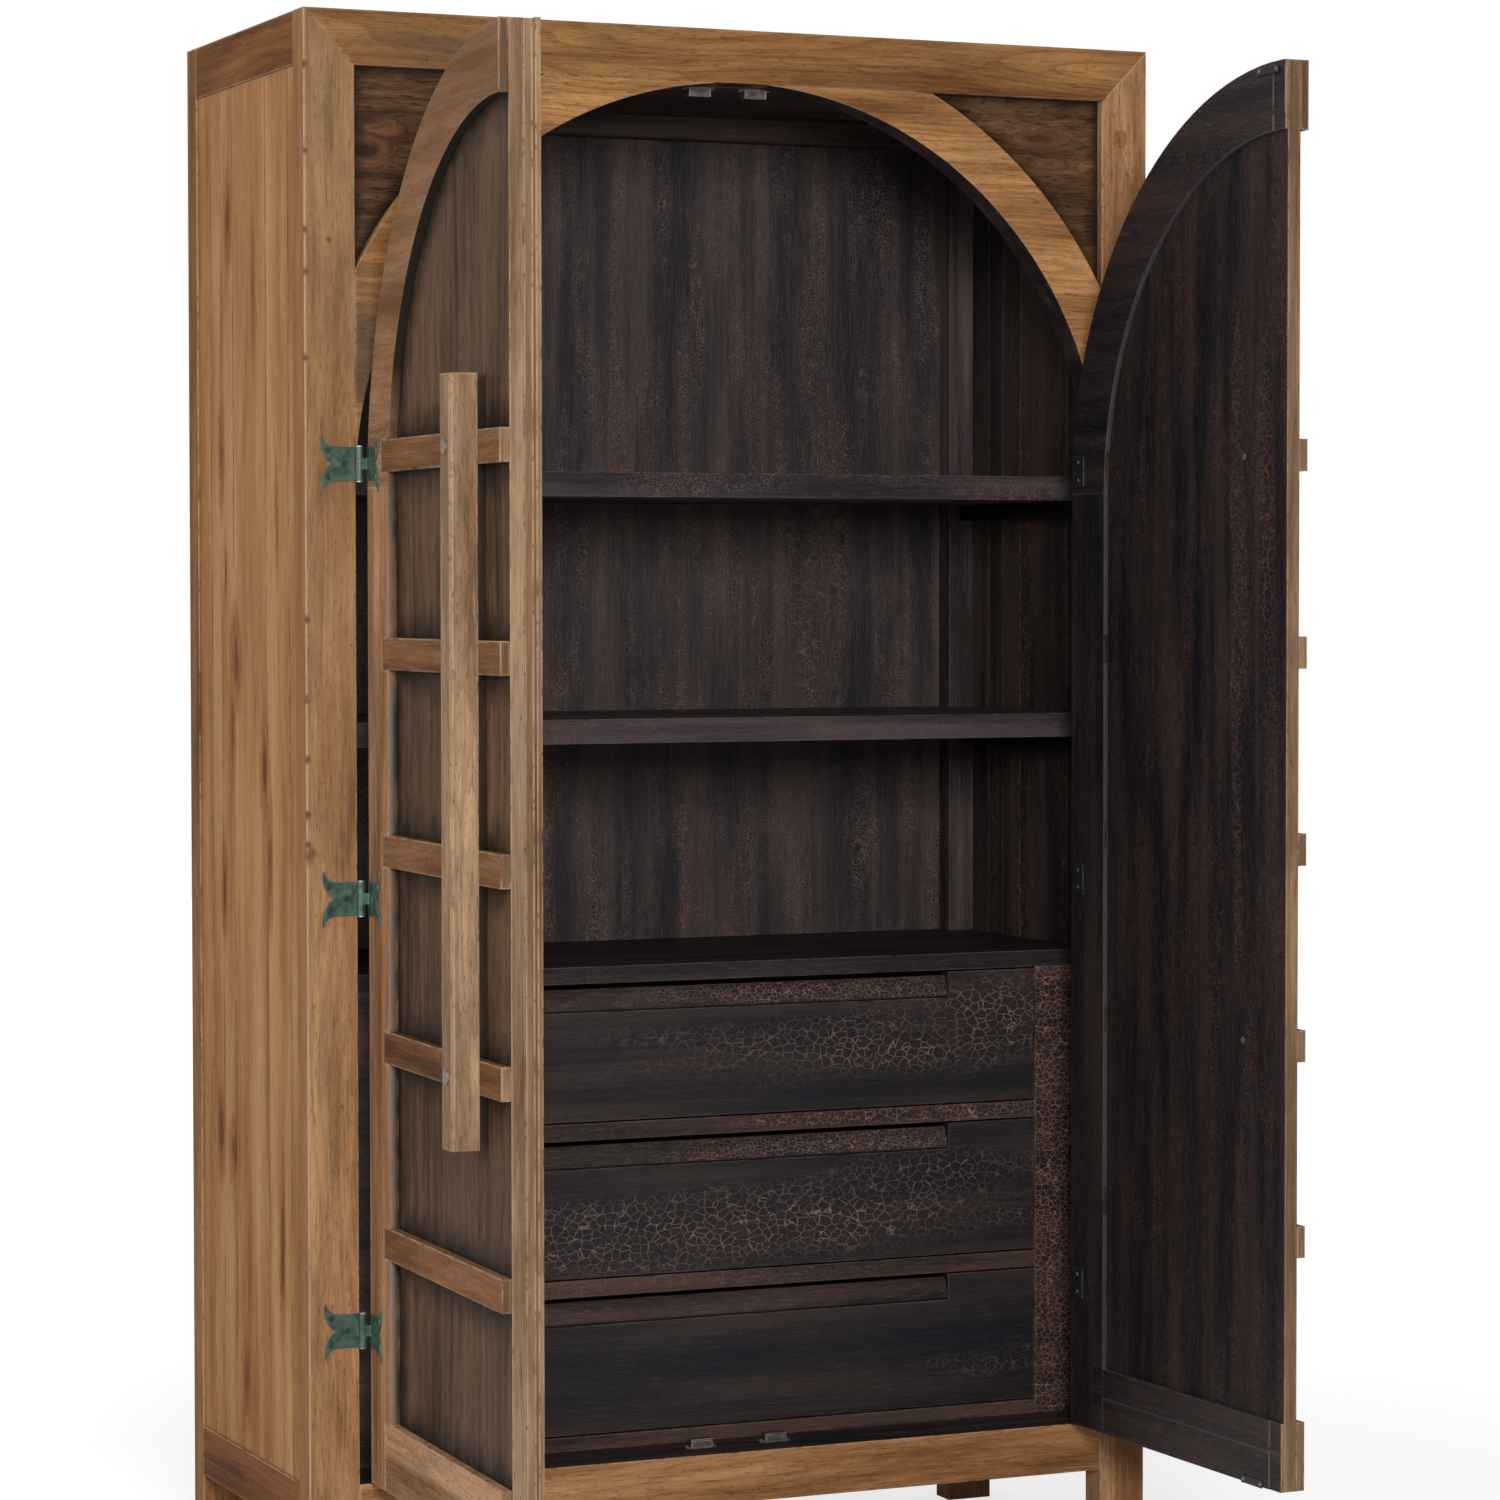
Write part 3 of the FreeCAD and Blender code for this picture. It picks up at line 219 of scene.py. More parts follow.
def wandering(tree, place, grain, sway, knots, swirl):
    """The grain with a slow wander in it, bent round the knots, and the knots themselves."""
    wander = add(tree, "Mapping", {"Vector": grain, "Scale": (9, 9, 2.4)})
    wander = add(tree, "TexNoise", {"Vector": wander, "Scale": 1.0, "Detail": 1.0}, "Color")
    wander = add(tree, "VectorMath", {0: wander, "Scale": sway}, operation="SCALE")
    grain = add(tree, "VectorMath", {0: grain, 1: wander}, operation="ADD")
    if not knots:
        return grain, 0.0
    knot = spots(tree, place, knots)
    bend = add(tree, "VectorMath", {0: (swirl, swirl, 0.0), "Scale": knot}, operation="SCALE")
    return add(tree, "VectorMath", {0: grain, 1: bend}, operation="ADD"), knot


# Oak, brushed and dry-waxed. The brush opens soft streaks, dark pores and fine checks, the wax
# hardly gleams, and hands rub the arrises pale. Streaks are 10 mm wide, pores 13 mm long and worm
# holes 2 mm across. Real pores are 0.3 mm wide, and drawn 2 mm wide so that they show.
def oak(tree, place, grain, tones, smoke=0.2, rings=0.25, rub=0.75, pores=0.55, veins=0.6,
        stripes=0.25, knots=(), smears_and_shade=(), dents=(), dirt_and_painted_light=None):
    """Oak with its length on Z, in tones from its dark to its pale streaks."""
    grain, knot = wandering(tree, place, grain, 0.03, knots, 0.012)
    body = fibres(tree, grain, 0.08, 0.9, 1.0)
    patch = fibres(tree, grain, 0.035, 0.35)
    streak = fibres(tree, grain, 0.01, 0.35)
    fibre = fibres(tree, grain, 0.0024, 0.06, 4.0, rough=0.65)
    tone = mixed(tree, (body, 0.5), (patch, 0.6), (streak, stripes), (fibre, 0.4))
    colour = add(tree, "ValToRGB", {"Fac": tone}, stops=list(zip((0.3, 0.49, 0.68), tones)))
    late = add(tree, "Math", {0: body, 1: 17.0}, operation="MULTIPLY")
    late = add(tree, "Math", {0: late}, operation="FRACT")
    late = add(tree, "MapRange", {"Value": late, "From Min": 0.55, "From Max": 0.97, "To Max": rings})
    cloud = fibres(tree, grain, 0.04, 0.14, 3.0, 0.5, 0.68, smoke)
    # Smears darken the wood as the smoke does; some of them are painted shadow.
    if smears_and_shade:
        smear_and_shade = spots(tree, place, smears_and_shade)
        smear_and_shade = add(tree, "Math", {0: streak, 1: -0.8, 2: smear_and_shade}, operation="MULTIPLY_ADD")
        cloud = add(tree, "Math", {0: cloud, 1: smear_and_shade}, operation="MAXIMUM")
    vein = fibres(tree, grain, 0.0042, 0.2, 2.0, 0.62, 0.74, veins)
    pore = fibres(tree, grain, 0.0021, 0.013, 2.0, 0.55, 0.72, pores)
    check = fibres(tree, grain, 0.0023, 0.06, 2.0, 0.7, 0.74, 0.7)
    hole = add(tree, "TexVoronoi", {"Vector": place, "Scale": 24.0}, "Distance")
    hole = add(tree, "MapRange", {"Value": hole, "From Min": 0.045, "From Max": 0.025, "To Max": 0.7})
    coats = [(late, tones[0]), (cloud, "#5a4835"), (vein, "#693c1a")]
    coats += [(pore, "#46301f"), (check, "#38230f"), (hole, "#2e1d10")]
    if knots:
        halo = add(tree, "Math", {0: streak, 1: -0.5, 2: knot}, operation="MULTIPLY_ADD")
        halo = add(tree, "MapRange", {"Value": halo, "From Min": -0.22, "From Max": 0.2, "To Max": 0.65})
        wisp = fibres(tree, grain, 0.007, 0.09, 2.0, 0.46, 0.6)
        wisp = add(tree, "Math", {0: wisp, 1: knot}, operation="MULTIPLY")
        heart = add(tree, "Math", {0: patch, 1: -0.9, 2: knot}, operation="MULTIPLY_ADD")
        heart = add(tree, "MapRange", {"Value": heart, "From Min": 0.2, "From Max": 0.5, "To Max": 0.8})
        coats += [(halo, "#86522a"), (wisp, "#6a3817"), (heart, "#4e2a14")]
    worn, nick, rounded = worn_arris(tree, place, rub, 0.004)
    coats += [(worn, "#c0a283"), (nick, "#5a3d28")]
    # The piece's own extra coat: on some pieces dirt or smoke, on others painted shade or painted highlight.
    if dirt_and_painted_light:
        coats.append(dirt_and_painted_light(tree, place))
    if dents:
        coats.append((spots(tree, place, dents), "#5e3f2c"))
    colour = stained(tree, colour, *coats)
    relief = add(tree, "Math", {0: fibre, 1: pore}, operation="SUBTRACT")
    relief = add(tree, "Math", {0: relief, 1: check}, operation="SUBTRACT")
    bump = {"Height": relief, "Distance": 0.0006, "Strength": 0.6, "Normal": rounded}
    wood = {"Base Color": colour, "Roughness": 0.68, "Specular IOR Level": 0.06}
    return add(tree, "BsdfPrincipled", wood | {"Normal": add(tree, "Bump", bump)})


# Black crackle paint, brushed. The top coat shrank over a copper-brown one and tore into cells of
# 5 to 14 mm, whose lines show that coat, and its gleam is low. The brush's hair lines are drawn
# 1.6 mm wide, coarser than real, so that they show.
def crackle_paint(tree, place, grain, shades=("#191a1f", "#262123", "#362c2a"), coarse=(), cell=0.0135,
                  fine=0.22, lines="#6d5146", coppery=0.25, rub=0.4, dirt_and_painted_light=None):
    """Paint along the board, with fine cells all over by a share and large ones at the coarse spots."""
    band = fibres(tree, grain, 0.05, 0.6, 1.0, 0.3, 0.7)
    streak = fibres(tree, grain, 0.008, 0.4, 1.5, 0.3, 0.7)
    hair = fibres(tree, grain, 0.0016, 0.045, 2.0, 0.3, 0.7, rough=0.7)
    shade = mixed(tree, (band, 0.8), (streak, 0.3), (hair, 0.3))
    colour = add(tree, "ValToRGB", {"Fac": shade}, stops=list(zip((0.2, 0.5, 0.82), shades)))
    dash = fibres(tree, grain, 0.0017, 0.025, 1.0, 0.55, 0.8, coppery)
    warp = add(tree, "TexNoise", {"Vector": place, "Scale": 90.0, "Detail": 1.0}, "Color")
    warp = add(tree, "VectorMath", {0: warp, "Scale": 0.006}, operation="SCALE")
    bent = add(tree, "VectorMath", {0: place, 1: warp}, operation="ADD")
    bent = add(tree, "VectorMath", {0: bent, 1: (1.0, 1.0, 1.3)}, operation="MULTIPLY")
    zone = fibres(tree, grain, 0.035, 0.25, 3.0)
    broken = add(tree, "TexNoise", {"Vector": place, "Scale": 75.0, "Detail": 1.0})
    broken = add(tree, "MapRange", {"Value": broken, "From Min": 0.22, "From Max": 0.5})
    where = add(tree, "MapRange", {"Value": zone, "From Min": 0.42, "From Max": 0.62, "To Max": fine})
    cells = [(0.0055, 0.12, where)]
    if coarse:
        where = mixed(tree, (zone, 0.9), (spots(tree, place, coarse), 1.0))
        where = add(tree, "MapRange", {"Value": where, "From Min": 0.2, "From Max": 0.7})
        cells.append((cell, 0.052, where))
        thick = add(tree, "Math", {0: where, 1: 0.6}, operation="MULTIPLY")
        colour = stained(tree, colour, (thick, "#15161b"))
    coats = [(dash, lines)]
    for size, width, where in cells:
        gap = {"Vector": bent, "Scale": 1 / size}
        gap = add(tree, "TexVoronoi", gap, "Distance", feature="DISTANCE_TO_EDGE")
        line = add(tree, "MapRange", {"Value": gap, "From Min": width, "From Max": width * 0.4})
        line = add(tree, "Math", {0: line, 1: broken}, operation="MULTIPLY")
        line = add(tree, "Math", {0: line, 1: where}, operation="MULTIPLY")
        coats.append((line, lines))
    worn, nick, rounded = worn_arris(tree, place, rub)
    coats += [(worn, "#8a7463"), (nick, "#0d0d10")]
    # The piece's own extra coat: on some pieces painted shadow or painted highlight.
    if dirt_and_painted_light:
        coats.append(dirt_and_painted_light(tree, place))
    colour = stained(tree, colour, *coats)
    # A piece given dirt and painted light has its lines in colour alone, and there the rubbed arris lies
    # deeper.
    sunk = worn if dirt_and_painted_light else line
    relief = add(tree, "Math", {0: sunk, 1: -1.0, 2: hair}, operation="MULTIPLY_ADD")
    bump = {"Height": relief, "Distance": 0.0005, "Strength": 0.7, "Normal": rounded}
    paint = {"Base Color": colour, "Roughness": 0.5, "Specular IOR Level": 0.14}
    return add(tree, "BsdfPrincipled", paint | {"Normal": add(tree, "Bump", bump)})


def two_sided(name, along, board, inside, wood, paint):
    """Oak towards the room and black paint wherever inside says so."""
    material, tree, place = start(name)
    grain = along(tree, place) if callable(along) else lay(tree, place, along, board)
    outer = oak(tree, place, grain, **wood)
    inner = crackle_paint(tree, place, grain, **paint)
    both = add(tree, "MixShader", {0: inside(tree, place), 1: outer, 2: inner})
    add(tree, "OutputMaterial", {"Surface": both}, out=None)
    return material


def from_centre(tree, across, height):
    """How far a place is from the arch's centre, and from the centre line under its spring."""
    above = add(tree, "Math", {0: height, 1: SPRING}, operation="SUBTRACT")
    above = add(tree, "Math", {0: above, 1: 0.0}, operation="MAXIMUM")
    arm = add(tree, "CombineXYZ", {0: across, 2: above})
    return add(tree, "VectorMath", {0: arm}, "Value", operation="LENGTH")


def arch_side(tree, place):
    """Inside the opening, or behind the frame, above the legs."""
    part = add(tree, "SeparateXYZ", {0: place}, out=None)
    reach = from_centre(tree, part.outputs["X"], part.outputs["Z"])
    within = add(tree, "Math", {0: reach, 1: REACH + SKIN}, operation="LESS_THAN")
    behind = add(tree, "Math", {0: part.outputs["Y"], 1: FRAME_BACK - SKIN}, operation="GREATER_THAN")
    inside = add(tree, "Math", {0: within, 1: behind}, operation="MAXIMUM")
    over = add(tree, "Math", {0: part.outputs["Z"], 1: LEG_HEAD}, operation="GREATER_THAN")
    return add(tree, "Math", {0: inside, 1: over}, operation="MULTIPLY")


def rail_side(tree, place):
    """The bottom rail's top, and behind it."""
    part = add(tree, "SeparateXYZ", {0: place}, out=None)
    top = add(tree, "Math", {0: part.outputs["Z"], 1: RAIL_TOP - SKIN}, operation="GREATER_THAN")
    behind = add(tree, "Math", {0: part.outputs["Y"], 1: FRAME_BACK - SKIN}, operation="GREATER_THAN")
    return add(tree, "Math", {0: top, 1: behind}, operation="MAXIMUM")


def post_smoke(tree, place):
    """Thin smoke towards the post's head, warmer wood down its side, and its arris rubbed pale."""
    part = add(tree, "SeparateXYZ", {0: place}, out=None)
    smoke = {"Value": part.outputs["Z"], "From Min": 0.5, "From Max": 2.1, "To Max": 0.48}
    side = add(tree, "Math", {0: part.outputs["X"], 1: -POST_SIDE + 0.0003}, operation="LESS_THAN")
    warm = add(tree, "Math", {0: side, 1: 0.55}, operation="MULTIPLY")
    share = add(tree, "Math", {0: add(tree, "MapRange", smoke), 1: warm}, operation="MAXIMUM")
    from_side = add(tree, "Math", {0: part.outputs["X"], 1: POST_SIDE}, operation="ADD")
    from_front = add(tree, "Math", {0: part.outputs["Y"], 1: -FRAME_FRONT}, operation="ADD")
    away = add(tree, "Math", {0: from_side, 1: from_front}, operation="MAXIMUM")
    pale = add(tree, "MapRange", {"Value": away, "From Min": 0.0036, "From Max": 0.0012, "To Max": 0.62})
    share = add(tree, "Math", {0: share, 1: pale}, operation="MAXIMUM")
    return share, stained(tree, "#6d543c", (side, "#80502f"), (pale, "#bfa58b"))


post_dents = [
    ((-POST_SIDE, FRAME_FRONT, height), (0.007, 0.007, 0.008), 0.95)
    for height in (2.026, 1.918, 1.816, 1.763, 1.655, 1.322, 1.217, 1.14, 1.069, 1.031)
]
post_dents += [
    ((-0.605, 0.019, 1.02), (0.009, 0.012, 0.024), 0.8), ((-0.577, 0.02, 1.805), (0.005, 0.01, 0.006), 0.8),
]
left_post = {
    "tones": ("#644731", "#956d49", "#b08862"),
    "smoke": 0.4, "rub": 1.0, "veins": 0.5, "pores": 0.5, "dents": post_dents, "dirt_and_painted_light": post_smoke,
    "smears_and_shade": [
        ((-0.577, 0.03, 1.965), (0.014, 0.03, 0.14), 1.25), ((-0.588, 0.03, 1.36), (0.014, 0.03, 0.12), 1.15),
        ((-0.56, 0.03, 1.03), (0.016, 0.03, 0.08), 1.2), ((-0.575, 0.03, 0.62), (0.016, 0.03, 0.1), 1.15),
    ],
}
right_post = {
    "tones": ("#62432b", "#916645", "#ad845e"), "smoke": 0.35, "rub": 0.9, "pores": 0.6,
    "knots": [
        ((0.569, 0.03, 1.977), (0.012, 0.1, 0.02), 0.9), ((0.593, 0.03, 1.882), (0.008, 0.1, 0.02), 0.9),
    ],
}
rail = {
    "tones": ("#53321b", "#805833", "#9f7245"), "smoke": 0.3, "rings": 0.4, "rub": 0.4,
    "smears_and_shade": [((-0.43, 0.03, 2.06), (0.2, 0.1, 0.05), 1.25)],
}
# The spot low on the left band is a painted shadow cast by the open left door.
band = {
    "tones": ("#694529", "#9d6f44", "#be8d5c"), "smoke": 0.25, "rings": 0.4, "rub": 0.4,
    "smears_and_shade": [((-0.53, 0.03, 1.66), (0.06, 0.06, 0.2), 1.45)],
}
low_rail = {"tones": ("#643f24", "#956842", "#b48559"), "smoke": 0.15}
frame_paint = {"shades": ("#15161b", "#221d1f", "#362b29"), "fine": 0.5}
for node, name, along, board, inside, wood in (
    ("front_post_left", "front_post_oak_left", "Z", 0.0, arch_side, left_post),
    ("front_post_right", "front_post_oak_right", "Z", 4.0, arch_side, right_post),
    ("front_top_rail", "top_rail_oak", "X", 1.5, arch_side, rail),
    ("arch_band_left", "arch_band_oak_left", "X", 2.6, arch_side, band),
    ("arch_band_right", "arch_band_oak_right", "X", 7.1, arch_side, band),
    ("front_bottom_rail", "bottom_rail_oak", "X", 8.3, rail_side, low_rail),
):
    coat([node], two_sided(name, along, board, inside, wood, frame_paint))


# Spandrels. Thin walnut panels set back in the corners over the arch, with their grain level,
# held in grooves of the post, the rail and the band.
BAND_REACH = 0.6095


# Walnut, oiled. Darker and browner than the oak, in streaks 13 mm wide, with green-black glaze
# that stayed in the corners when the rest was wiped, deepened by painted shade where the panels sit
# back from what stands round them. Pores are 20 mm long, and drawn 2 mm wide, which is coarser
# than real, so that they show.
def walnut(tree, place, grain, tones, away, reach, rings, pores, knots=()):
    """Walnut with its length on Z, and glaze with painted shade that fades out over a reach from its edges.
    """
    grain, knot = wandering(tree, place, grain, 0.04, knots, 0.03)
    body = fibres(tree, grain, 0.06, 0.5, 1.0)
    streak = fibres(tree, grain, 0.013, 0.3)
    fibre = fibres(tree, grain, 0.0025, 0.04, 4.0, rough=0.7)
    tone = mixed(tree, (body, 0.5), (streak, 0.6), (fibre, 0.35))
    colour = add(tree, "ValToRGB", {"Fac": tone}, stops=list(zip((0.3, 0.5, 0.72), tones)))
    late = add(tree, "Math", {0: body, 1: 14.0}, operation="MULTIPLY")
    late = add(tree, "Math", {0: late}, operation="FRACT")
    late = add(tree, "MapRange", {"Value": late, "From Min": 0.4, "From Max": 0.97, "To Max": rings})
    pore = fibres(tree, grain, 0.002, 0.02, 1.0, 0.57, 0.66, pores)
    check = fibres(tree, grain, 0.0024, 0.06, 2.0, 0.68, 0.72, 0.8)
    coats = [(late, tones[0]), (pore, "#241811"), (check, "#130d09")]
    if knots:
        flame = add(tree, "Math", {0: fibre, 1: -0.5, 2: knot}, operation="MULTIPLY_ADD")
        flame = add(tree, "MapRange", {"Value": flame, "From Max": 0.3, "To Max": 0.5})
        heart = add(tree, "Math", {0: streak, 1: -0.9, 2: knot}, operation="MULTIPLY_ADD")
        heart = add(tree, "MapRange", {"Value": heart, "From Min": 0.1, "From Max": 0.5, "To Max": 0.75})
        coats += [(flame, "#6d4733"), (heart, "#20160f")]
    # Glaze with painted shade: darkest against what stands round the panel, fading out over the reach.
    uneven = add(tree, "TexNoise", {"Vector": place, "Scale": 35.0, "Detail": 2.0})
    away = add(tree, "Math", {0: uneven, 1: -reach, 2: away}, operation="MULTIPLY_ADD")
    glaze_and_shade = {"Value": away, "From Min": reach * 0.5, "From Max": -reach * 0.5, "To Max": 0.92}
    coats.append((add(tree, "MapRange", glaze_and_shade), "#14150f"))
    colour = stained(tree, colour, *coats)
    bump = add(tree, "Bump", {"Height": fibre, "Distance": 0.0005, "Strength": 0.7})
    wood = {"Base Color": colour, "Roughness": 0.6, "Specular IOR Level": 0.04, "Normal": bump}
    return add(tree, "BsdfPrincipled", wood)


material, tree, place = start("spandrel_walnut")
part = add(tree, "SeparateXYZ", {0: place}, out=None)
across = add(tree, "Math", {0: part.outputs["X"]}, operation="ABSOLUTE")
from_post = add(tree, "Math", {0: REACH, 1: across}, operation="SUBTRACT")
from_rail = add(tree, "Math", {0: CROWN, 1: part.outputs["Z"]}, operation="SUBTRACT")
from_band = from_centre(tree, across, part.outputs["Z"])
from_band = add(tree, "Math", {0: from_band, 1: BAND_REACH}, operation="SUBTRACT")
away = add(tree, "Math", {0: from_post, 1: from_rail}, operation="MINIMUM")
away = add(tree, "Math", {0: away, 1: from_band}, operation="MINIMUM")
spandrel_knots = [
    ((-0.524, 0.04, 1.923), (0.05, 0.1, 0.028), 1.0), ((-0.5, 0.04, 1.95), (0.05, 0.1, 0.014), 0.7),
    ((0.451, 0.04, 1.974), (0.06, 0.1, 0.018), 0.8), ((0.466, 0.04, 1.94), (0.05, 0.1, 0.014), 0.7),
]
spandrel_tones = ("#321f14", "#573d2a", "#785639")
level = lay(tree, place, "X")
panel = walnut(tree, place, level, spandrel_tones, away, 0.02, 0.35, 0.75, spandrel_knots)
add(tree, "OutputMaterial", {"Surface": panel}, out=None)
coat(["spandrel_panels"], material)


# Sides. Upright oak planks edge to edge between the posts, warmer than the frame and some with
# knots, under and over browner rails. Thin planks of the rails' oak close the top.
# Where each plank starts, as a share of the depth that the planks fill.
PLANK_SEAMS = (0, 0.083, 0.306, 0.643, 0.772, 0.876)
PLANKS_START, PLANKS_DEPTH = 0.061, 0.434
WALL_INSIDE, BACK, TOP = 0.6, 0.537, 2.1


def plank_grain(tree, place):
    """The place, shifted to another piece of wood for each plank across the side."""
    share = {"From Min": PLANKS_START, "From Max": PLANKS_START + PLANKS_DEPTH}
    share = add(tree, "MapRange", {"Value": add(tree, "SeparateXYZ", {0: place}, "Y")} | share)
    stops = list(zip(PLANK_SEAMS, (0.1, 0.45, 0.2, 0.7, 0.3, 0.9)))
    ramp = add(tree, "ValToRGB", {"Fac": share}, out=None, stops=stops)
    ramp.color_ramp.interpolation = "CONSTANT"
    shift = add(tree, "VectorMath", {0: ramp.outputs[0], "Scale": 40.0}, operation="SCALE")
    return add(tree, "VectorMath", {0: place, 1: shift}, operation="ADD")


def plank_side(tree, place):
    """The inner faces of what stands in the walls, over the legs, under the top, before the back."""
    part = add(tree, "SeparateXYZ", {0: place}, out=None)
    across = add(tree, "Math", {0: part.outputs["X"]}, operation="ABSOLUTE")
    inside = add(tree, "Math", {0: across, 1: WALL_INSIDE}, operation="LESS_THAN")
    for coordinate, limit, kind in (
        ("Z", LEG_HEAD, "GREATER_THAN"), ("Z", TOP - SKIN, "LESS_THAN"), ("Y", BACK - SKIN, "LESS_THAN"),
    ):
        holds = add(tree, "Math", {0: part.outputs[coordinate], 1: limit}, operation=kind)
        inside = add(tree, "Math", {0: inside, 1: holds}, operation="MULTIPLY")
    return inside


def seam_dirt(tree, place):
    """Dark wax in the seams between the planks."""
    deep = add(tree, "SeparateXYZ", {0: place}, "Y")
    share = 0.0
    for seam in PLANK_SEAMS[1:]:
        near = {0: deep, 1: PLANKS_START + PLANKS_DEPTH * seam, 2: 0.0022}
        near = add(tree, "Math", near, operation="COMPARE")
        share = add(tree, "Math", {0: share, 1: near}, operation="MAXIMUM")
    uneven = add(tree, "TexNoise", {"Vector": place, "Scale": 9.0, "Detail": 3.0})
    uneven = {"Value": uneven, "From Min": 0.35, "From Max": 0.6, "To Min": 0.15, "To Max": 0.7}
    uneven = add(tree, "MapRange", uneven)
    return add(tree, "Math", {0: share, 1: uneven}, operation="MULTIPLY"), "#5a3218"


def bare(name, along, tones, **wood):
    """Wood that shows on all of a piece's faces."""
    material, tree, place = start(name)
    wood = oak(tree, place, lay(tree, place, along), tones, **wood)
    add(tree, "OutputMaterial", {"Surface": wood}, out=None)
    return material


# Each knot's depth and height on the side, its half sizes there, and how strong it is.
plank_knots = [
    ((-0.6, deep, height), (0.1, half_depth, half_height), rise)
    for deep, height, half_depth, half_height, rise in (
        (0.335, 1.262, 0.034, 0.09, 1.0), (0.35, 1.17, 0.02, 0.12, 0.9), (0.206, 1.12, 0.026, 0.1, 1.0),
        (0.185, 1.0, 0.018, 0.13, 0.9), (0.395, 1.54, 0.018, 0.1, 1.0), (0.378, 1.38, 0.01, 0.08, 0.8),
        (0.39, 0.95, 0.02, 0.09, 0.9), (0.41, 0.62, 0.024, 0.09, 1.0), (0.35, 0.6, 0.035, 0.06, 0.9),
        (0.138, 0.49, 0.018, 0.17, 0.9), (0.36, 1.86, 0.02, 0.09, 0.9), (0.25, 1.75, 0.012, 0.12, 0.8),
        (0.3, 0.3, 0.03, 0.08, 0.8), (0.15, 1.45, 0.012, 0.1, 0.7),
    )
]
plank_oak = {
    "tones": ("#7c4e28", "#9b6e45", "#b0875d"), "smoke": 0.04, "rings": 0.1, "pores": 0.3,
    "veins": 0.15, "stripes": 0.1, "knots": plank_knots, "dirt_and_painted_light": seam_dirt,
}
side_rail_oak = {"tones": ("#452711", "#724825", "#8b5c33"), "smoke": 0.15}
rear_oak = {"tones": ("#503218", "#7c5532", "#976c44"), "smoke": 0.05}
rear_paint = {"shades": ("#231d1e", "#3b3032", "#574947"), "fine": 0.15}
side_paint = {
    "shades": ("#1a1b21", "#2a2526", "#40332f"), "lines": "#7c5848", "cell": 0.011,
    "coarse": [
        ((0.58, 0.2, 1.0), (0.1, 0.03, 0.9), 0.5), ((0.58, 0.33, 1.2), (0.1, 0.05, 0.9), 0.55),
        ((0.58, 0.43, 0.9), (0.1, 0.03, 0.9), 0.45),
    ],
}
for pieces, name, along, board, wood, paint in (
    ("side_planks", "side_plank_oak", plank_grain, 0.0, plank_oak, side_paint),
    ("side_rails", "side_rail_oak", "Y", 6.0, side_rail_oak, side_paint),
    ("rear_post", "rear_post_oak", "Z", 9.0, rear_oak, rear_paint),
):
    coat([f"{pieces}_left", f"{pieces}_right"], two_sided(name, along, board, plank_side, wood, paint))
coat(["top_panel"], bare("top_plank_oak", "X", rail["tones"]))


# Back, floor, ceiling and shelves. Plain boards let into the posts, the shelves resting on cleats,
# all under black crackle paint that is streaked up the back and along the shelves.
def painted(name, along, board, **paint):
    """A board that is painted on all its faces."""
    material, tree, place = start(name)
    paint = crackle_paint(tree, place, lay(tree, place, along, board), **paint)
    add(tree, "OutputMaterial", {"Surface": paint}, out=None)
    return material


back_paint = {
    "shades": ("#231f24", "#322a2b", "#433735"), "fine": 0.8, "lines": "#66504a",
    "coarse": [
        ((0.33, 0.53, 1.36), (0.08, 0.1, 0.5), 0.6), ((0.28, 0.53, 1.7), (0.06, 0.1, 0.25), 0.45),
        ((0.39, 0.53, 1.0), (0.08, 0.1, 0.25), 0.35), ((0.05, 0.53, 1.77), (0.06, 0.1, 0.22), 0.3),
    ],
}
floor_coat = {"shades": ("#17181e", "#242023", "#302b2b")}
ceiling_paint = {"shades": ("#1f1c1f", "#302727", "#45362f"), "coppery": 0.3}
shelf_paint = {"shades": ("#1f1c21", "#332b2e", "#463b3d"), "coppery": 0.15, "lines": "#7a6258", "fine": 0.35}
case_top_paint = {"shades": ("#101117", "#1b181c", "#2a2425"), "fine": 0.15}
# The cleats, partitions and runners are painted near black as painted shade, so that they sink into the dark
# under the shelves and inside the case.
shade_black_paint = {"shades": ("#060608", "#09090b", "#0e0d0e"), "fine": 0.05, "coppery": 0.1, "rub": 0.1}
for pieces, name, along, board, paint in (
    (["back_panel"], "back_crackle_paint", "Z", 3.0, back_paint),
    (["floor_panel"], "floor_paint", "X", 5.0, floor_coat),
    (["ceiling_panel", "head_cleat"], "ceiling_paint", "X", 5.5, ceiling_paint),
    (["shelf_upper"], "upper_shelf_paint", "X", 11.0, shelf_paint),
    (["shelf_lower"], "lower_shelf_paint", "X", 11.3, shelf_paint),
    (["case_top"], "case_top_paint", "X", 13.9, case_top_paint),
    (["shelf_cleats", "case_partitions", "drawer_runners"], "shade_black_board_paint", "Y", 2.0, shade_black_paint),
):
    coat(pieces, painted(name, along, board, **paint))
coat(["back_rails"], two_sided("back_rail_oak", "X", 5.9, plank_side, rear_oak, ceiling_paint))


# Drawer case. Three drawers on runners in a face frame: blue-black fronts, browner pull strips let
# into their top edges, and the coarsest crackle of the whole piece. Their boxes are bare birch.
face_frame_paint = {
    "shades": ("#1c171b", "#312525", "#46352f"), "fine": 0.3, "coppery": 0.3,
    "lines": "#82604f", "cell": 0.0095,
    "coarse": [((0.516, 0.11, 0.5), (0.05, 0.1, 1.0), 1.25), ((0.3, 0.11, 0.632), (0.4, 0.1, 0.02), 0.9)],
}
coat(["case_face_frame"], painted("face_frame_paint", "X", 21.0, **face_frame_paint))


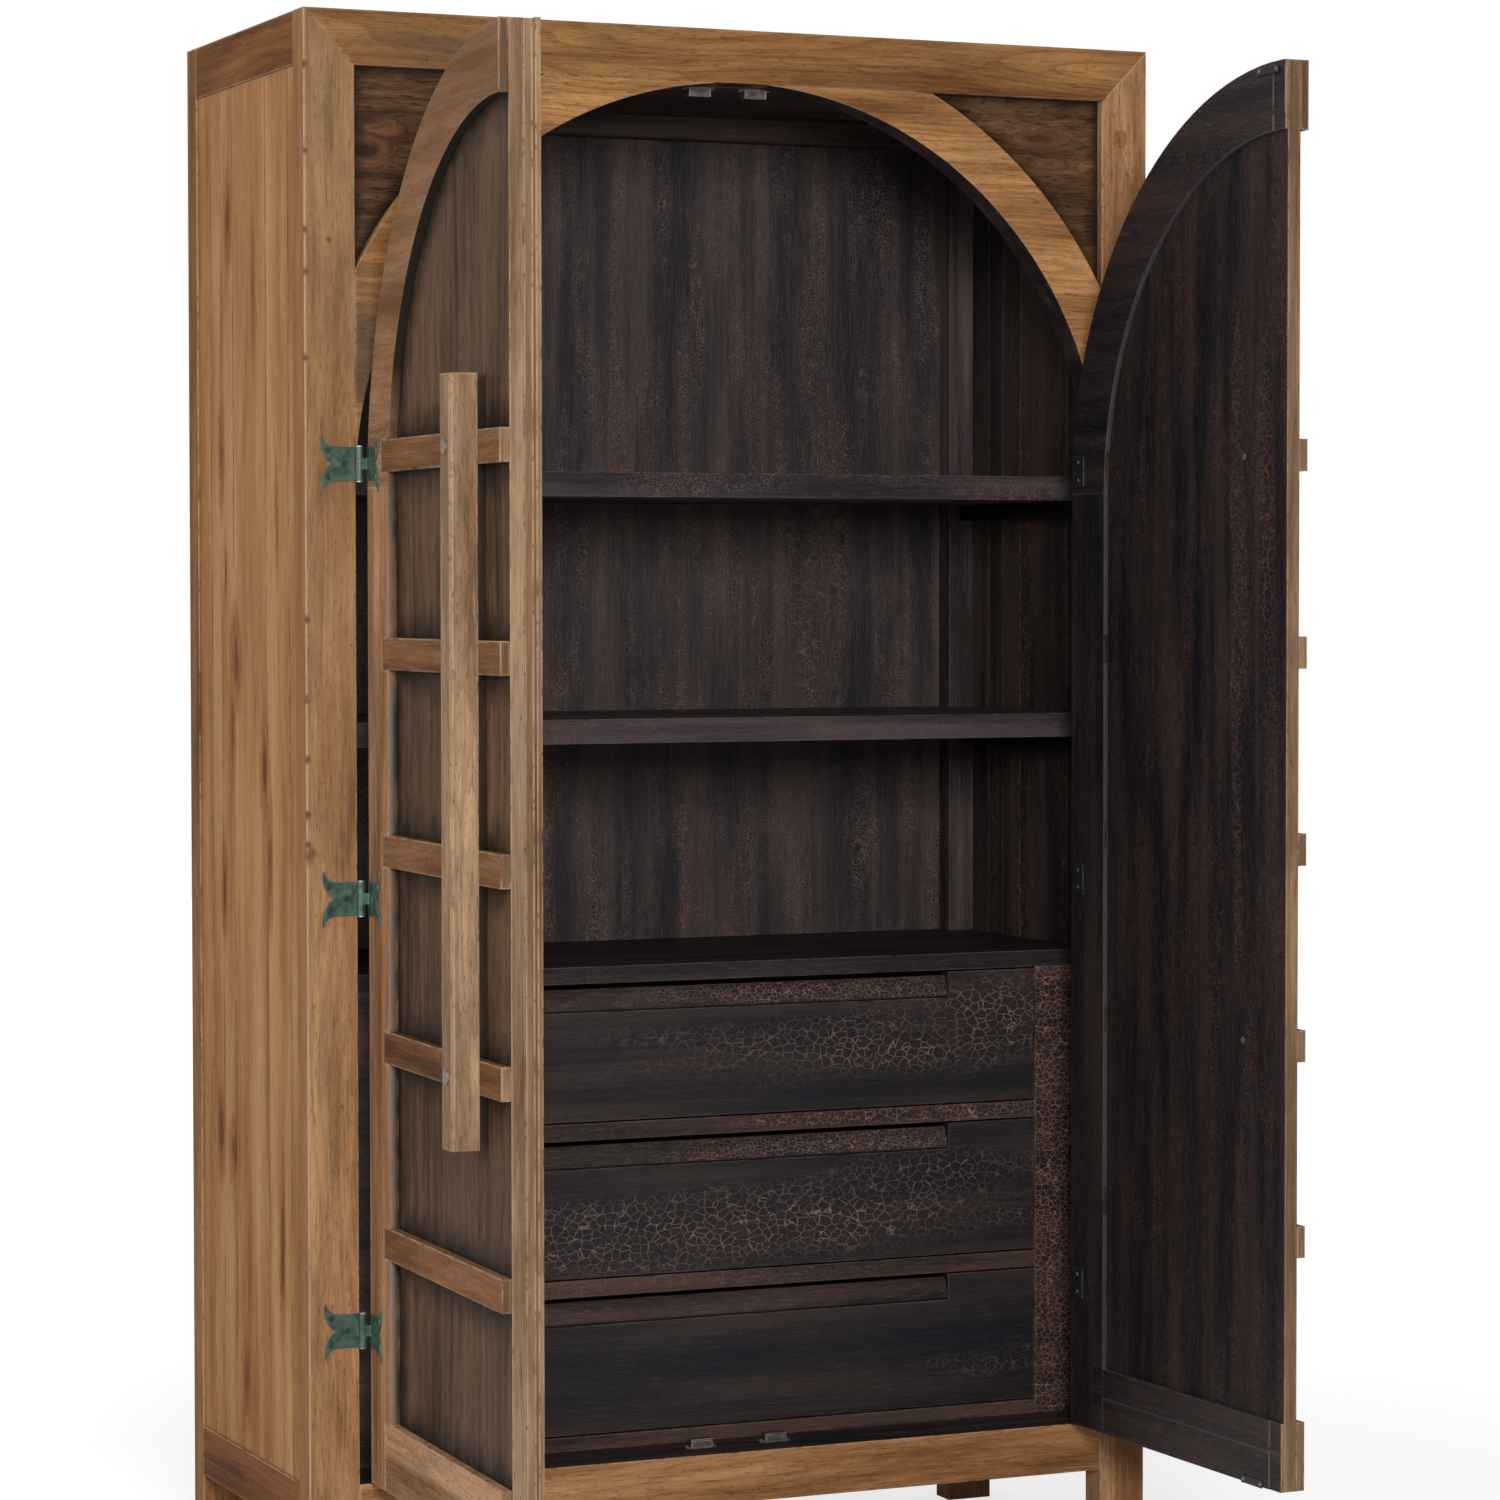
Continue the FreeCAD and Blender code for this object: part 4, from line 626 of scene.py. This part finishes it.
def strip_foot_shadow(tree, place, foot):
    """A painted shadow, near black, along the foot of a pull strip."""
    low = {"Value": add(tree, "SeparateXYZ", {0: place}, "Z")}
    low |= {"From Min": foot + 0.0045, "From Max": foot + 0.001}
    return add(tree, "MapRange", low), "#060607"


front_paint = {"shades": ("#111319", "#1e1a1d", "#2e2524"), "fine": 0.08, "lines": "#785c52", "coppery": 0.12}
strip_paint = {
    "shades": ("#161518", "#292222", "#3a2d2b"), "fine": 0.15, "coppery": 0.35,
    "lines": "#7f6154", "cell": 0.0068,
}
drawers = ("drawer_bottom", "drawer_middle", "drawer_top")
# Each front's coarse cells, and how strong they are on its pull.
for index, (name, cells, strip_rise) in enumerate(zip(drawers, (
    [((0.38, 0.11, 0.28), (0.25, 0.1, 0.04), 0.35)],
    [((0.0, 0.11, 0.49), (0.8, 0.1, 0.08), 0.75), ((0.35, 0.11, 0.54), (0.26, 0.1, 0.09), 0.5)],
    [((0.2, 0.11, 0.73), (0.5, 0.1, 0.075), 0.6), ((0.42, 0.11, 0.76), (0.16, 0.1, 0.11), 0.65)],
), (0.25, 0.8, 0.75))):
    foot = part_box(f"{name}_pull")[0][2]
    strip_cells = [((0.17, 0.12, foot + 0.02), (0.42, 0.1, 0.06), strip_rise)]
    front = painted(f"{name}_front_paint", "X", 31.0 + index * 2.3, coarse=cells, **front_paint)
    # Each pull strip gets a painted shadow along its foot.
    strip = {"coarse": strip_cells, "dirt_and_painted_light": partial(strip_foot_shadow, foot=foot)} | strip_paint
    coat([f"{name}_front"], front)
    coat([f"{name}_pull"], painted(f"{name}_pull_paint", "X", 41.0 + index * 1.7, **strip))
# Birch, planed and left bare: pale and close-grained, with hardly a pore.
birch = bare("drawer_box_birch", "Y", ("#a98a63", "#c3a67e", "#d4bb95"), smoke=0.0, rub=0.2, pores=0.15)
coat([f"{name}_{piece}" for name in drawers for piece in ("box", "bottom")], birch)


# Doors. A boarded walnut core with a proud oak frame and battens outside, and a thin black frame
# inside. Places on a door are measured from its pin: X along it, Y through it from the front.
PIN = (0.5385, 0.013)
OPEN = math.radians(92)
HEAD_RADIUS, FRAME_WIDTH = 0.5385, 0.088
FREE_EDGE, STILE_EDGE, FOOT_RAIL_TOP = 0.5366, 0.061, 0.2915
LOW_BATTEN, BATTEN_STEP, BATTEN_HALF, OVER_BATTENS = 0.523, 0.2511, 0.0205, 1.6529
PANEL_FRONT, PANEL_BACK, LINING_FACE = 0.0229, 0.0406, 0.0454


def on_door(tree, place, side):
    """Turns the place on an open door into the door's own."""
    sign = 1 if side == "left" else -1
    own = {"Vector": place, "Location": (-sign * PIN[0], PIN[1], 0), "Scale": (sign, 1, 1)}
    return add(tree, "Mapping", own | {"Rotation": (0, 0, -sign * OPEN)}, vector_type="TEXTURE")


def door_edge_distance(tree, own):
    """How far a place on the door's panel is from the frame and the battens round it."""
    part = add(tree, "SeparateXYZ", {0: own}, out=None)
    inward = add(tree, "Math", {0: HEAD_RADIUS, 1: part.outputs["X"]}, operation="SUBTRACT")
    from_frame = from_centre(tree, inward, part.outputs["Z"])
    from_frame = add(tree, "Math", {0: HEAD_RADIUS - FRAME_WIDTH, 1: from_frame}, operation="SUBTRACT")
    height = add(tree, "Math", {0: part.outputs["Z"], 1: OVER_BATTENS}, operation="MINIMUM")
    height = add(tree, "Math", {0: height, 1: LOW_BATTEN}, operation="SUBTRACT")
    from_batten = add(tree, "Math", {0: height, 1: BATTEN_STEP / 2}, operation="PINGPONG")
    from_batten = add(tree, "Math", {0: from_batten, 1: BATTEN_HALF}, operation="SUBTRACT")
    return add(tree, "Math", {0: from_frame, 1: from_batten}, operation="MINIMUM")


edge_oak = {"tones": ("#564230", "#7a5f47", "#987c60"), "smoke": 0.3, "rings": 0.15, "pores": 0.2}
panel_tones = ("#30231b", "#564134", "#6d5240")
panel_paint = {
    "shades": ("#0e0f15", "#1b1719", "#2c2322"), "fine": 0.5, "lines": "#573d35", "coppery": 0.4,
    "coarse": [
        ((0.42, 0.04, 1.3), (0.03, 0.1, 0.8), 0.75), ((0.49, 0.04, 1.45), (0.03, 0.1, 0.5), 0.8),
        ((0.2, 0.04, 1.4), (0.05, 0.1, 0.6), 0.3),
    ],
}


def door_panel(side, board):
    """Walnut outside, black crackle inside, oak where the free edge shows."""
    material, tree, place = start(f"{side}_door_panel_walnut")
    own = on_door(tree, place, side)
    grain = lay(tree, own, "Z", board)
    outside = walnut(tree, place, grain, panel_tones, door_edge_distance(tree, own), 0.045, 0.25, 0.35)
    inside = crackle_paint(tree, own, grain, **panel_paint)
    middle = oak(tree, place, grain, **edge_oak)
    through = add(tree, "SeparateXYZ", {0: own}, "Y")
    inner = add(tree, "Math", {0: through, 1: PANEL_BACK}, operation="GREATER_THAN")
    outer = add(tree, "Math", {0: through, 1: PANEL_FRONT}, operation="LESS_THAN")
    shader = add(tree, "MixShader", {0: outer, 1: middle, 2: outside})
    shader = add(tree, "MixShader", {0: inner, 1: shader, 2: inside})
    add(tree, "OutputMaterial", {"Surface": shader}, out=None)
    return material


def step_glaze_and_shade(tree, place, side):
    """Dark glaze and painted shade on the faces that stand round the panels, darkest towards the panel and
    round the head, and a browner, more even curved head.
    """
    own = on_door(tree, place, side)
    step = {0: door_edge_distance(tree, own), 1: 0.0, 2: 0.0005}
    step = add(tree, "Math", step, operation="COMPARE")
    part = add(tree, "SeparateXYZ", {0: own}, out=None)
    # Painted shade: the step darkens from its outer arris towards the panel, and round the head.
    deep = add(tree, "MapRange", {"Value": part.outputs["Y"], "From Min": 0.0125, "From Max": 0.0195})
    up = {"Value": part.outputs["Z"], "From Min": SPRING - 0.1}
    high = add(tree, "MapRange", up | {"From Max": SPRING + 0.15})
    head = add(tree, "MapRange", up | {"From Max": SPRING + 0.3, "To Max": 0.62})
    shade = stained(tree, "#77706a", (deep, "#22251f"), (high, "#211f1a"))
    patchy = add(tree, "TexNoise", {"Vector": place, "Scale": 18.0, "Detail": 2.0})
    patchy = {"Value": patchy, "From Min": 0.35, "From Max": 0.6, "To Min": 0.65, "To Max": 0.95}
    patchy = add(tree, "Math", {0: add(tree, "MapRange", patchy), 1: high}, operation="MAXIMUM")
    step = add(tree, "Math", {0: step, 1: patchy}, operation="MULTIPLY")
    share = add(tree, "Math", {0: step, 1: head}, operation="MAXIMUM")
    return share, stained(tree, "#5f432e", (step, shade))


def frame_grain(tree, place, side, board):
    """Grain up the stile, and level along the curved head and the foot rail."""
    own = on_door(tree, place, side)
    part = add(tree, "SeparateXYZ", {0: own}, out=None)
    head = add(tree, "Math", {0: part.outputs["Z"], 1: SPRING}, operation="GREATER_THAN")
    within = add(tree, "Math", {0: part.outputs["X"], 1: FREE_EDGE}, operation="LESS_THAN")
    head = add(tree, "Math", {0: head, 1: within}, operation="MULTIPLY")
    low = add(tree, "Math", {0: part.outputs["Z"], 1: FOOT_RAIL_TOP}, operation="LESS_THAN")
    out = add(tree, "Math", {0: part.outputs["X"], 1: STILE_EDGE}, operation="GREATER_THAN")
    foot = add(tree, "Math", {0: low, 1: out}, operation="MULTIPLY")
    level = add(tree, "Math", {0: head, 1: foot}, operation="MAXIMUM")
    turned = {0: level, 4: lay(tree, own, "Z", board), 5: lay(tree, own, "X", board)}
    return add(tree, "Mix", turned, 1, data_type="VECTOR")


def lining_side(tree, place, side):
    """The inner frame's inner face and the step round the panel."""
    part = add(tree, "SeparateXYZ", {0: on_door(tree, place, side)}, out=None)
    before = add(tree, "Math", {0: part.outputs["X"], 1: FREE_EDGE}, operation="LESS_THAN")
    deep = add(tree, "Math", {0: part.outputs["Y"], 1: LINING_FACE}, operation="GREATER_THAN")
    return add(tree, "Math", {0: before, 1: deep}, operation="MAXIMUM")


def lining_step_highlight(tree, place, side):
    """A painted pale bluish highlight on the bevel that the inner frame shows round its panel."""
    step = {0: door_edge_distance(tree, on_door(tree, place, side)), 1: 0.0, 2: 0.0015}
    step = add(tree, "Math", step, operation="COMPARE")
    return add(tree, "Math", {0: step, 1: 0.55}, operation="MULTIPLY"), "#45444a"


def batten_joint(tree, place, side):
    """The stile's own tone on the battens' ends, which are let 5 mm into it."""
    out = add(tree, "SeparateXYZ", {0: on_door(tree, place, side)}, "X")
    end = add(tree, "Math", {0: out, 1: STILE_EDGE + 0.0055}, operation="LESS_THAN")
    return add(tree, "Math", {0: end, 1: 0.85}, operation="MULTIPLY"), "#7d5a3f"


def door_oak(name, side, along, board, wood):
    """Oak with its grain along the piece, and the greyer edge oak on the door's free edge."""
    material, tree, place = start(name)
    own = on_door(tree, place, side)
    grain = along(tree, place) if callable(along) else lay(tree, own, along, board)
    free = add(tree, "SeparateXYZ", {0: own}, "X")
    free = add(tree, "Math", {0: free, 1: FREE_EDGE}, operation="GREATER_THAN")
    face = oak(tree, place, grain, **wood)
    edge = oak(tree, place, lay(tree, own, "Z", board + 5), **edge_oak)
    both = add(tree, "MixShader", {0: free, 1: face, 2: edge})
    add(tree, "OutputMaterial", {"Surface": both}, out=None)
    return material


frame_oak = {"tones": ("#644630", "#9a7251", "#b88f6e"), "smoke": 0.35, "rub": 1.0, "veins": 0.35}
batten_oak = {"tones": ("#432b1a", "#714d33", "#906747"), "smoke": 0.25, "veins": 0.35}
bar_oak = {"tones": ("#624a34", "#8e7056", "#ad8e6f"), "smoke": 0.5, "stripes": 0.12}
lining_paint = {"shades": ("#13141a", "#201c1f", "#312827"), "lines": "#6a4f44"}
for number, side in enumerate(("left", "right")):
    door = f"{side}_door"
    board = 60.0 + number * 3
    stile_grain = partial(frame_grain, side=side, board=board + 10)
    frame_wood = frame_oak | {"dirt_and_painted_light": partial(step_glaze_and_shade, side=side)}
    batten_wood = batten_oak | {"dirt_and_painted_light": partial(batten_joint, side=side)}
    # The inner frame's step gets a painted pale highlight.
    lining_coat = lining_paint | {"dirt_and_painted_light": partial(lining_step_highlight, side=side)}
    inner_face = partial(lining_side, side=side)
    lining = two_sided(f"{door}_lining_paint", stile_grain, 0, inner_face, edge_oak, lining_coat)
    coat([f"{door}_panel"], door_panel(side, board))
    coat([f"{door}_outer_frame"], door_oak(f"{door}_frame_oak", side, stile_grain, 0, frame_wood))
    coat([f"{door}_inner_frame"], lining)
    coat([f"{door}_battens"], door_oak(f"{door}_batten_oak", side, "X", board + 20, batten_wood))
    coat([f"{door}_handle"], door_oak(f"{side}_pull_bar_oak", side, "Z", board + 30, bar_oak))
coat(["left_door_astragal"], door_oak("astragal_oak", "left", "Z", 99.0, edge_oak))


# Hinges and plates. Butterfly hinges cut from iron plate and screwed on, turning on bright pins.
# Small steel plates sit inside the doors, two of them where the catches pull.
LEAF_REACH = 0.06


def metal(name, low, high, bright, metallic, roughness, rub, near_pin=None):
    """Patinated metal, cloudy between two shades 10 mm apart, bright on its rubbed edges."""
    material, tree, place = start(name)
    cloud = add(tree, "TexNoise", {"Vector": place, "Scale": 90.0, "Detail": 3.0})
    colour = add(tree, "ValToRGB", {"Fac": cloud}, stops=[(0.35, low), (0.65, high)])
    if near_pin:
        near = add(tree, "SeparateXYZ", {0: on_door(tree, place, near_pin[0])}, "X")
        near = add(tree, "Math", {0: near, 1: LEAF_REACH}, operation="LESS_THAN")
        colour = stained(tree, colour, (near, near_pin[1]))
    worn, nick, rounded = worn_arris(tree, place, rub, 0.001)
    colour = stained(tree, colour, (worn, bright), (nick, low))
    bump = {"Height": cloud, "Distance": 0.0003, "Strength": 0.5, "Normal": rounded}
    rough = {"Value": cloud, "From Min": 0.3, "From Max": 0.7}
    rough |= {"To Min": roughness - 0.08, "To Max": roughness + 0.08}
    plate = {"Base Color": colour, "Metallic": metallic, "Roughness": add(tree, "MapRange", rough)}
    plate = add(tree, "BsdfPrincipled", plate | {"Normal": add(tree, "Bump", bump)})
    add(tree, "OutputMaterial", {"Surface": plate}, out=None)
    return material


# Iron plate under verdigris: dull blue-green, darker in its pits, with a grey-green gleam on edges.
verdigris = metal("verdigris_iron", "#24382f", "#3d5648", "#7d9c8d", 0.25, 0.45, 0.7)
coat(["hinge_post_leaves", "left_door_hinge_leaves", "right_door_hinge_leaves"], verdigris)
# Turned iron, kept bright by the leaves that turn on it.
coat(["hinge_pins"], metal("polished_pin_iron", "#5d7a6d", "#8fa99c", "#c8ddd2", 0.6, 0.35, 0.8))
# Steel, blackened in oil: near black, with a cold grey line along its edges.
blackened = metal("blackened_plate_steel", "#232528", "#34373b", "#6f7378", 0.6, 0.45, 0.6)
coat(["left_door_plates", "right_door_plates"], blackened)
# Steel screws, browned by age, and green where they hold the hinge leaves.
for side in ("left", "right"):
    aged = ("#5c5348", "#7d7161", "#b9ab95", 0.5, 0.5, 0.6, (side, "#1d2f29"))
    coat([f"{side}_door_screws"], metal(f"{side}_door_screw_steel", *aged))


# Hinge screws. Slotted iron screws with a turned groove round the head, gone green with the
# leaves and almost black in the groove, three in each leaf, no two slots alike. Their green is
# painted darker than the leaves' as painted shade for the groove round each head.
SCREW_FRONT, SCREW_PROUD, SCREW_RADIUS = 0.0161, 0.0009, 0.0042
RIM_WIDTH, GROOVE_WIDTH, GROOVE_DEPTH, MIDDLE_RISE = 0.0007, 0.0005, 0.00045, 0.00035
SLOT_SIZE, SLOT_DEEP = (0.0056, 0.0011, 0.0007), 0.0002
SHANK_INSET, SHANK_LENGTH = 0.0022, 0.018
HINGE_HEIGHTS = (0.401, 0.96, 1.519)
LEAF_HOLES = ((0.58, 0.017), (0.58, -0.017), (0.558, 0))


def only(piece):
    """Selects this piece alone."""
    bpy.ops.object.select_all(action="DESELECT")
    piece.select_set(True)
    bpy.context.view_layer.objects.active = piece


def started(primitive, **sizes):
    """A primitive of its own size and place, which go into its mesh."""
    bpy.ops.object.select_all(action="DESELECT")
    primitive(**sizes)
    bpy.ops.object.transform_apply()
    return bpy.context.object


def pick(piece, wanted):
    """Selects the faces whose normal is wanted."""
    only(piece)
    bpy.ops.object.mode_set(mode="EDIT")
    bpy.ops.mesh.select_mode(type="FACE")
    bpy.ops.mesh.select_all(action="DESELECT")
    bpy.ops.object.mode_set(mode="OBJECT")
    for face in piece.data.polygons:
        face.select = wanted(face.normal)


def stepped(inset, shift=0.0, rise=0.0):
    """Insets the selected faces, and pushes them along the depth or raises them."""
    bpy.ops.object.mode_set(mode="EDIT")
    bpy.ops.mesh.inset(thickness=inset, depth=rise)
    if shift:
        bpy.ops.mesh.extrude_region_move(TRANSFORM_OT_translate={"value": (0, shift, 0)})
    bpy.ops.object.mode_set(mode="OBJECT")


def softened(piece, width):
    """Rounds the piece's sharp edges."""
    edges = piece.modifiers.new("rounded_edges", "BEVEL")
    edges.width = width
    edges.segments = 2
    edges.limit_method = "ANGLE"
    bpy.ops.object.modifier_apply(modifier=edges.name)


def set_copy(piece, name, place, turn=0.0):
    """A copy with a mesh of its own, turned about the depth and set in its place."""
    only(piece)
    bpy.ops.object.duplicate(linked=False)
    copy = bpy.context.object
    copy.name = name
    copy.data.name = name
    copy.rotation_euler = (0, turn, 0)
    copy.location = place
    bpy.ops.object.transform_apply()
    return copy


def joined(pieces, name):
    """One piece out of several."""
    bpy.ops.object.select_all(action="DESELECT")
    for piece in pieces:
        piece.select_set(True)
    bpy.context.view_layer.objects.active = pieces[0]
    bpy.ops.object.join()
    pieces[0].name = name
    return pieces[0]


screw = started(
    bpy.ops.mesh.primitive_cylinder_add, vertices=32, radius=SCREW_RADIUS, depth=SCREW_PROUD,
    location=(0, SCREW_PROUD / 2, 0), rotation=(math.pi / 2, 0, 0),
)
pick(screw, lambda normal: normal.y < -0.9)
stepped(RIM_WIDTH, GROOVE_DEPTH)
stepped(GROOVE_WIDTH, -MIDDLE_RISE)
pick(screw, lambda normal: normal.y > 0.9)
stepped(SHANK_INSET, SHANK_LENGTH)
softened(screw, 0.00022)
bpy.ops.object.select_all(action="DESELECT")
bpy.ops.mesh.primitive_cube_add(size=1, location=(0, SLOT_DEEP, 0), scale=SLOT_SIZE)
slot = bpy.context.object
only(screw)
cut = screw.modifiers.new("slot", "BOOLEAN")
cut.object = slot
bpy.ops.object.modifier_apply(modifier=cut.name)
bpy.data.objects.remove(slot)
# Turned iron under the leaves' verdigris: dark green, darker than the leaves as painted shade, with a thin
# gleam round the rim.
screw.data.materials.append(metal("green_screw_iron", "#101d19", "#1f322b", "#4f6d62", 0.3, 0.5, 0.35))
screws = []
for side in (-1, 1):
    for row, height in enumerate(HINGE_HEIGHTS):
        for column, (reach, rise) in enumerate(LEAF_HOLES):
            place = (side * reach, SCREW_FRONT, height + rise)
            screws.append(set_copy(screw, "hinge_screw", place, 0.4 + 1.7 * row + 0.9 * column * side))
bpy.data.objects.remove(screw)
hinge_screws = joined(screws, "hinge_screws")
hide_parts("hinge_post_screws")
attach(hinge_screws, "cabinet")


# Magnetic catches. A brown moulded case with a nickel pole frame round a steel plate, held by two
# ears with a screw in each. Two hang at the crown and two stand on the floor's front edge.
CASE_SIZE, EARS_SIZE, EARS_DEEP = (0.032, 0.014, 0.013), (0.044, 0.012, 0.0025), 0.008
FRAME_INSET, FRAME_SINK, PLATE_INSET, PLATE_RISE = 0.0016, 0.0014, 0.0014, 0.0008
EAR_SCREW_REACH, EAR_SCREW_RADIUS, EAR_SCREW_HEIGHT = 0.019, 0.0021, 0.001
UNDER_ARCH, ON_RAIL = 2.028, 0.2

case = started(
    bpy.ops.mesh.primitive_cube_add, size=1, scale=CASE_SIZE,
    location=(0, CASE_SIZE[1] / 2, CASE_SIZE[2] / 2),
)
pick(case, lambda normal: normal.y < -0.9)
stepped(FRAME_INSET, FRAME_SINK)
stepped(PLATE_INSET, -PLATE_RISE)
softened(case, 0.0004)
# ABS, moulded: brown with a dull skin and paler edges. The poles are nickel-plated steel, tarnished.
case.data.materials.append(metal("brown_catch_casing", "#2e2623", "#43382f", "#75685c", 0.0, 0.5, 0.6))
case.data.materials.append(metal("nickel_pole_steel", "#443c38", "#5d544d", "#9a8f84", 0.45, 0.45, 0.8))
for face in case.data.polygons:
    face.material_index = 1 if face.normal.y < -0.7 else 0
ears = started(
    bpy.ops.mesh.primitive_cube_add, size=1, scale=EARS_SIZE,
    location=(0, EARS_DEEP, EARS_SIZE[2] / 2),
)
pick(ears, lambda normal: abs(normal.x) > 0.9)
stepped(0.0009, rise=0.0006)
softened(ears, 0.0003)
ears.data.materials.append(case.data.materials[0])
parts = [case, ears]
for reach in (-EAR_SCREW_REACH, EAR_SCREW_REACH):
    head = started(
        bpy.ops.mesh.primitive_cylinder_add, vertices=20, radius=EAR_SCREW_RADIUS,
        depth=EAR_SCREW_HEIGHT, location=(reach, EARS_DEEP, EARS_SIZE[2] + EAR_SCREW_HEIGHT / 2),
    )
    pick(head, lambda normal: normal.z > 0.9)
    stepped(0.0006, rise=0.0003)
    head.data.materials.append(case.data.materials[1])
    parts.append(head)
catch = joined(parts, "magnetic_catch")
catch_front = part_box("magnetic_catches")[0][1]
for name, reach, height, turn in (
    ("catch_crown_left", -0.042, UNDER_ARCH, math.pi), ("catch_crown_right", 0.039, UNDER_ARCH, math.pi),
    ("catch_floor_left", -0.042, ON_RAIL, 0.0), ("catch_floor_right", 0.067, ON_RAIL, 0.0),
):
    piece = set_copy(catch, name, (reach, catch_front, height), turn)
    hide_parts("magnetic_catches")
    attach(piece, "cabinet")
bpy.data.objects.remove(catch)
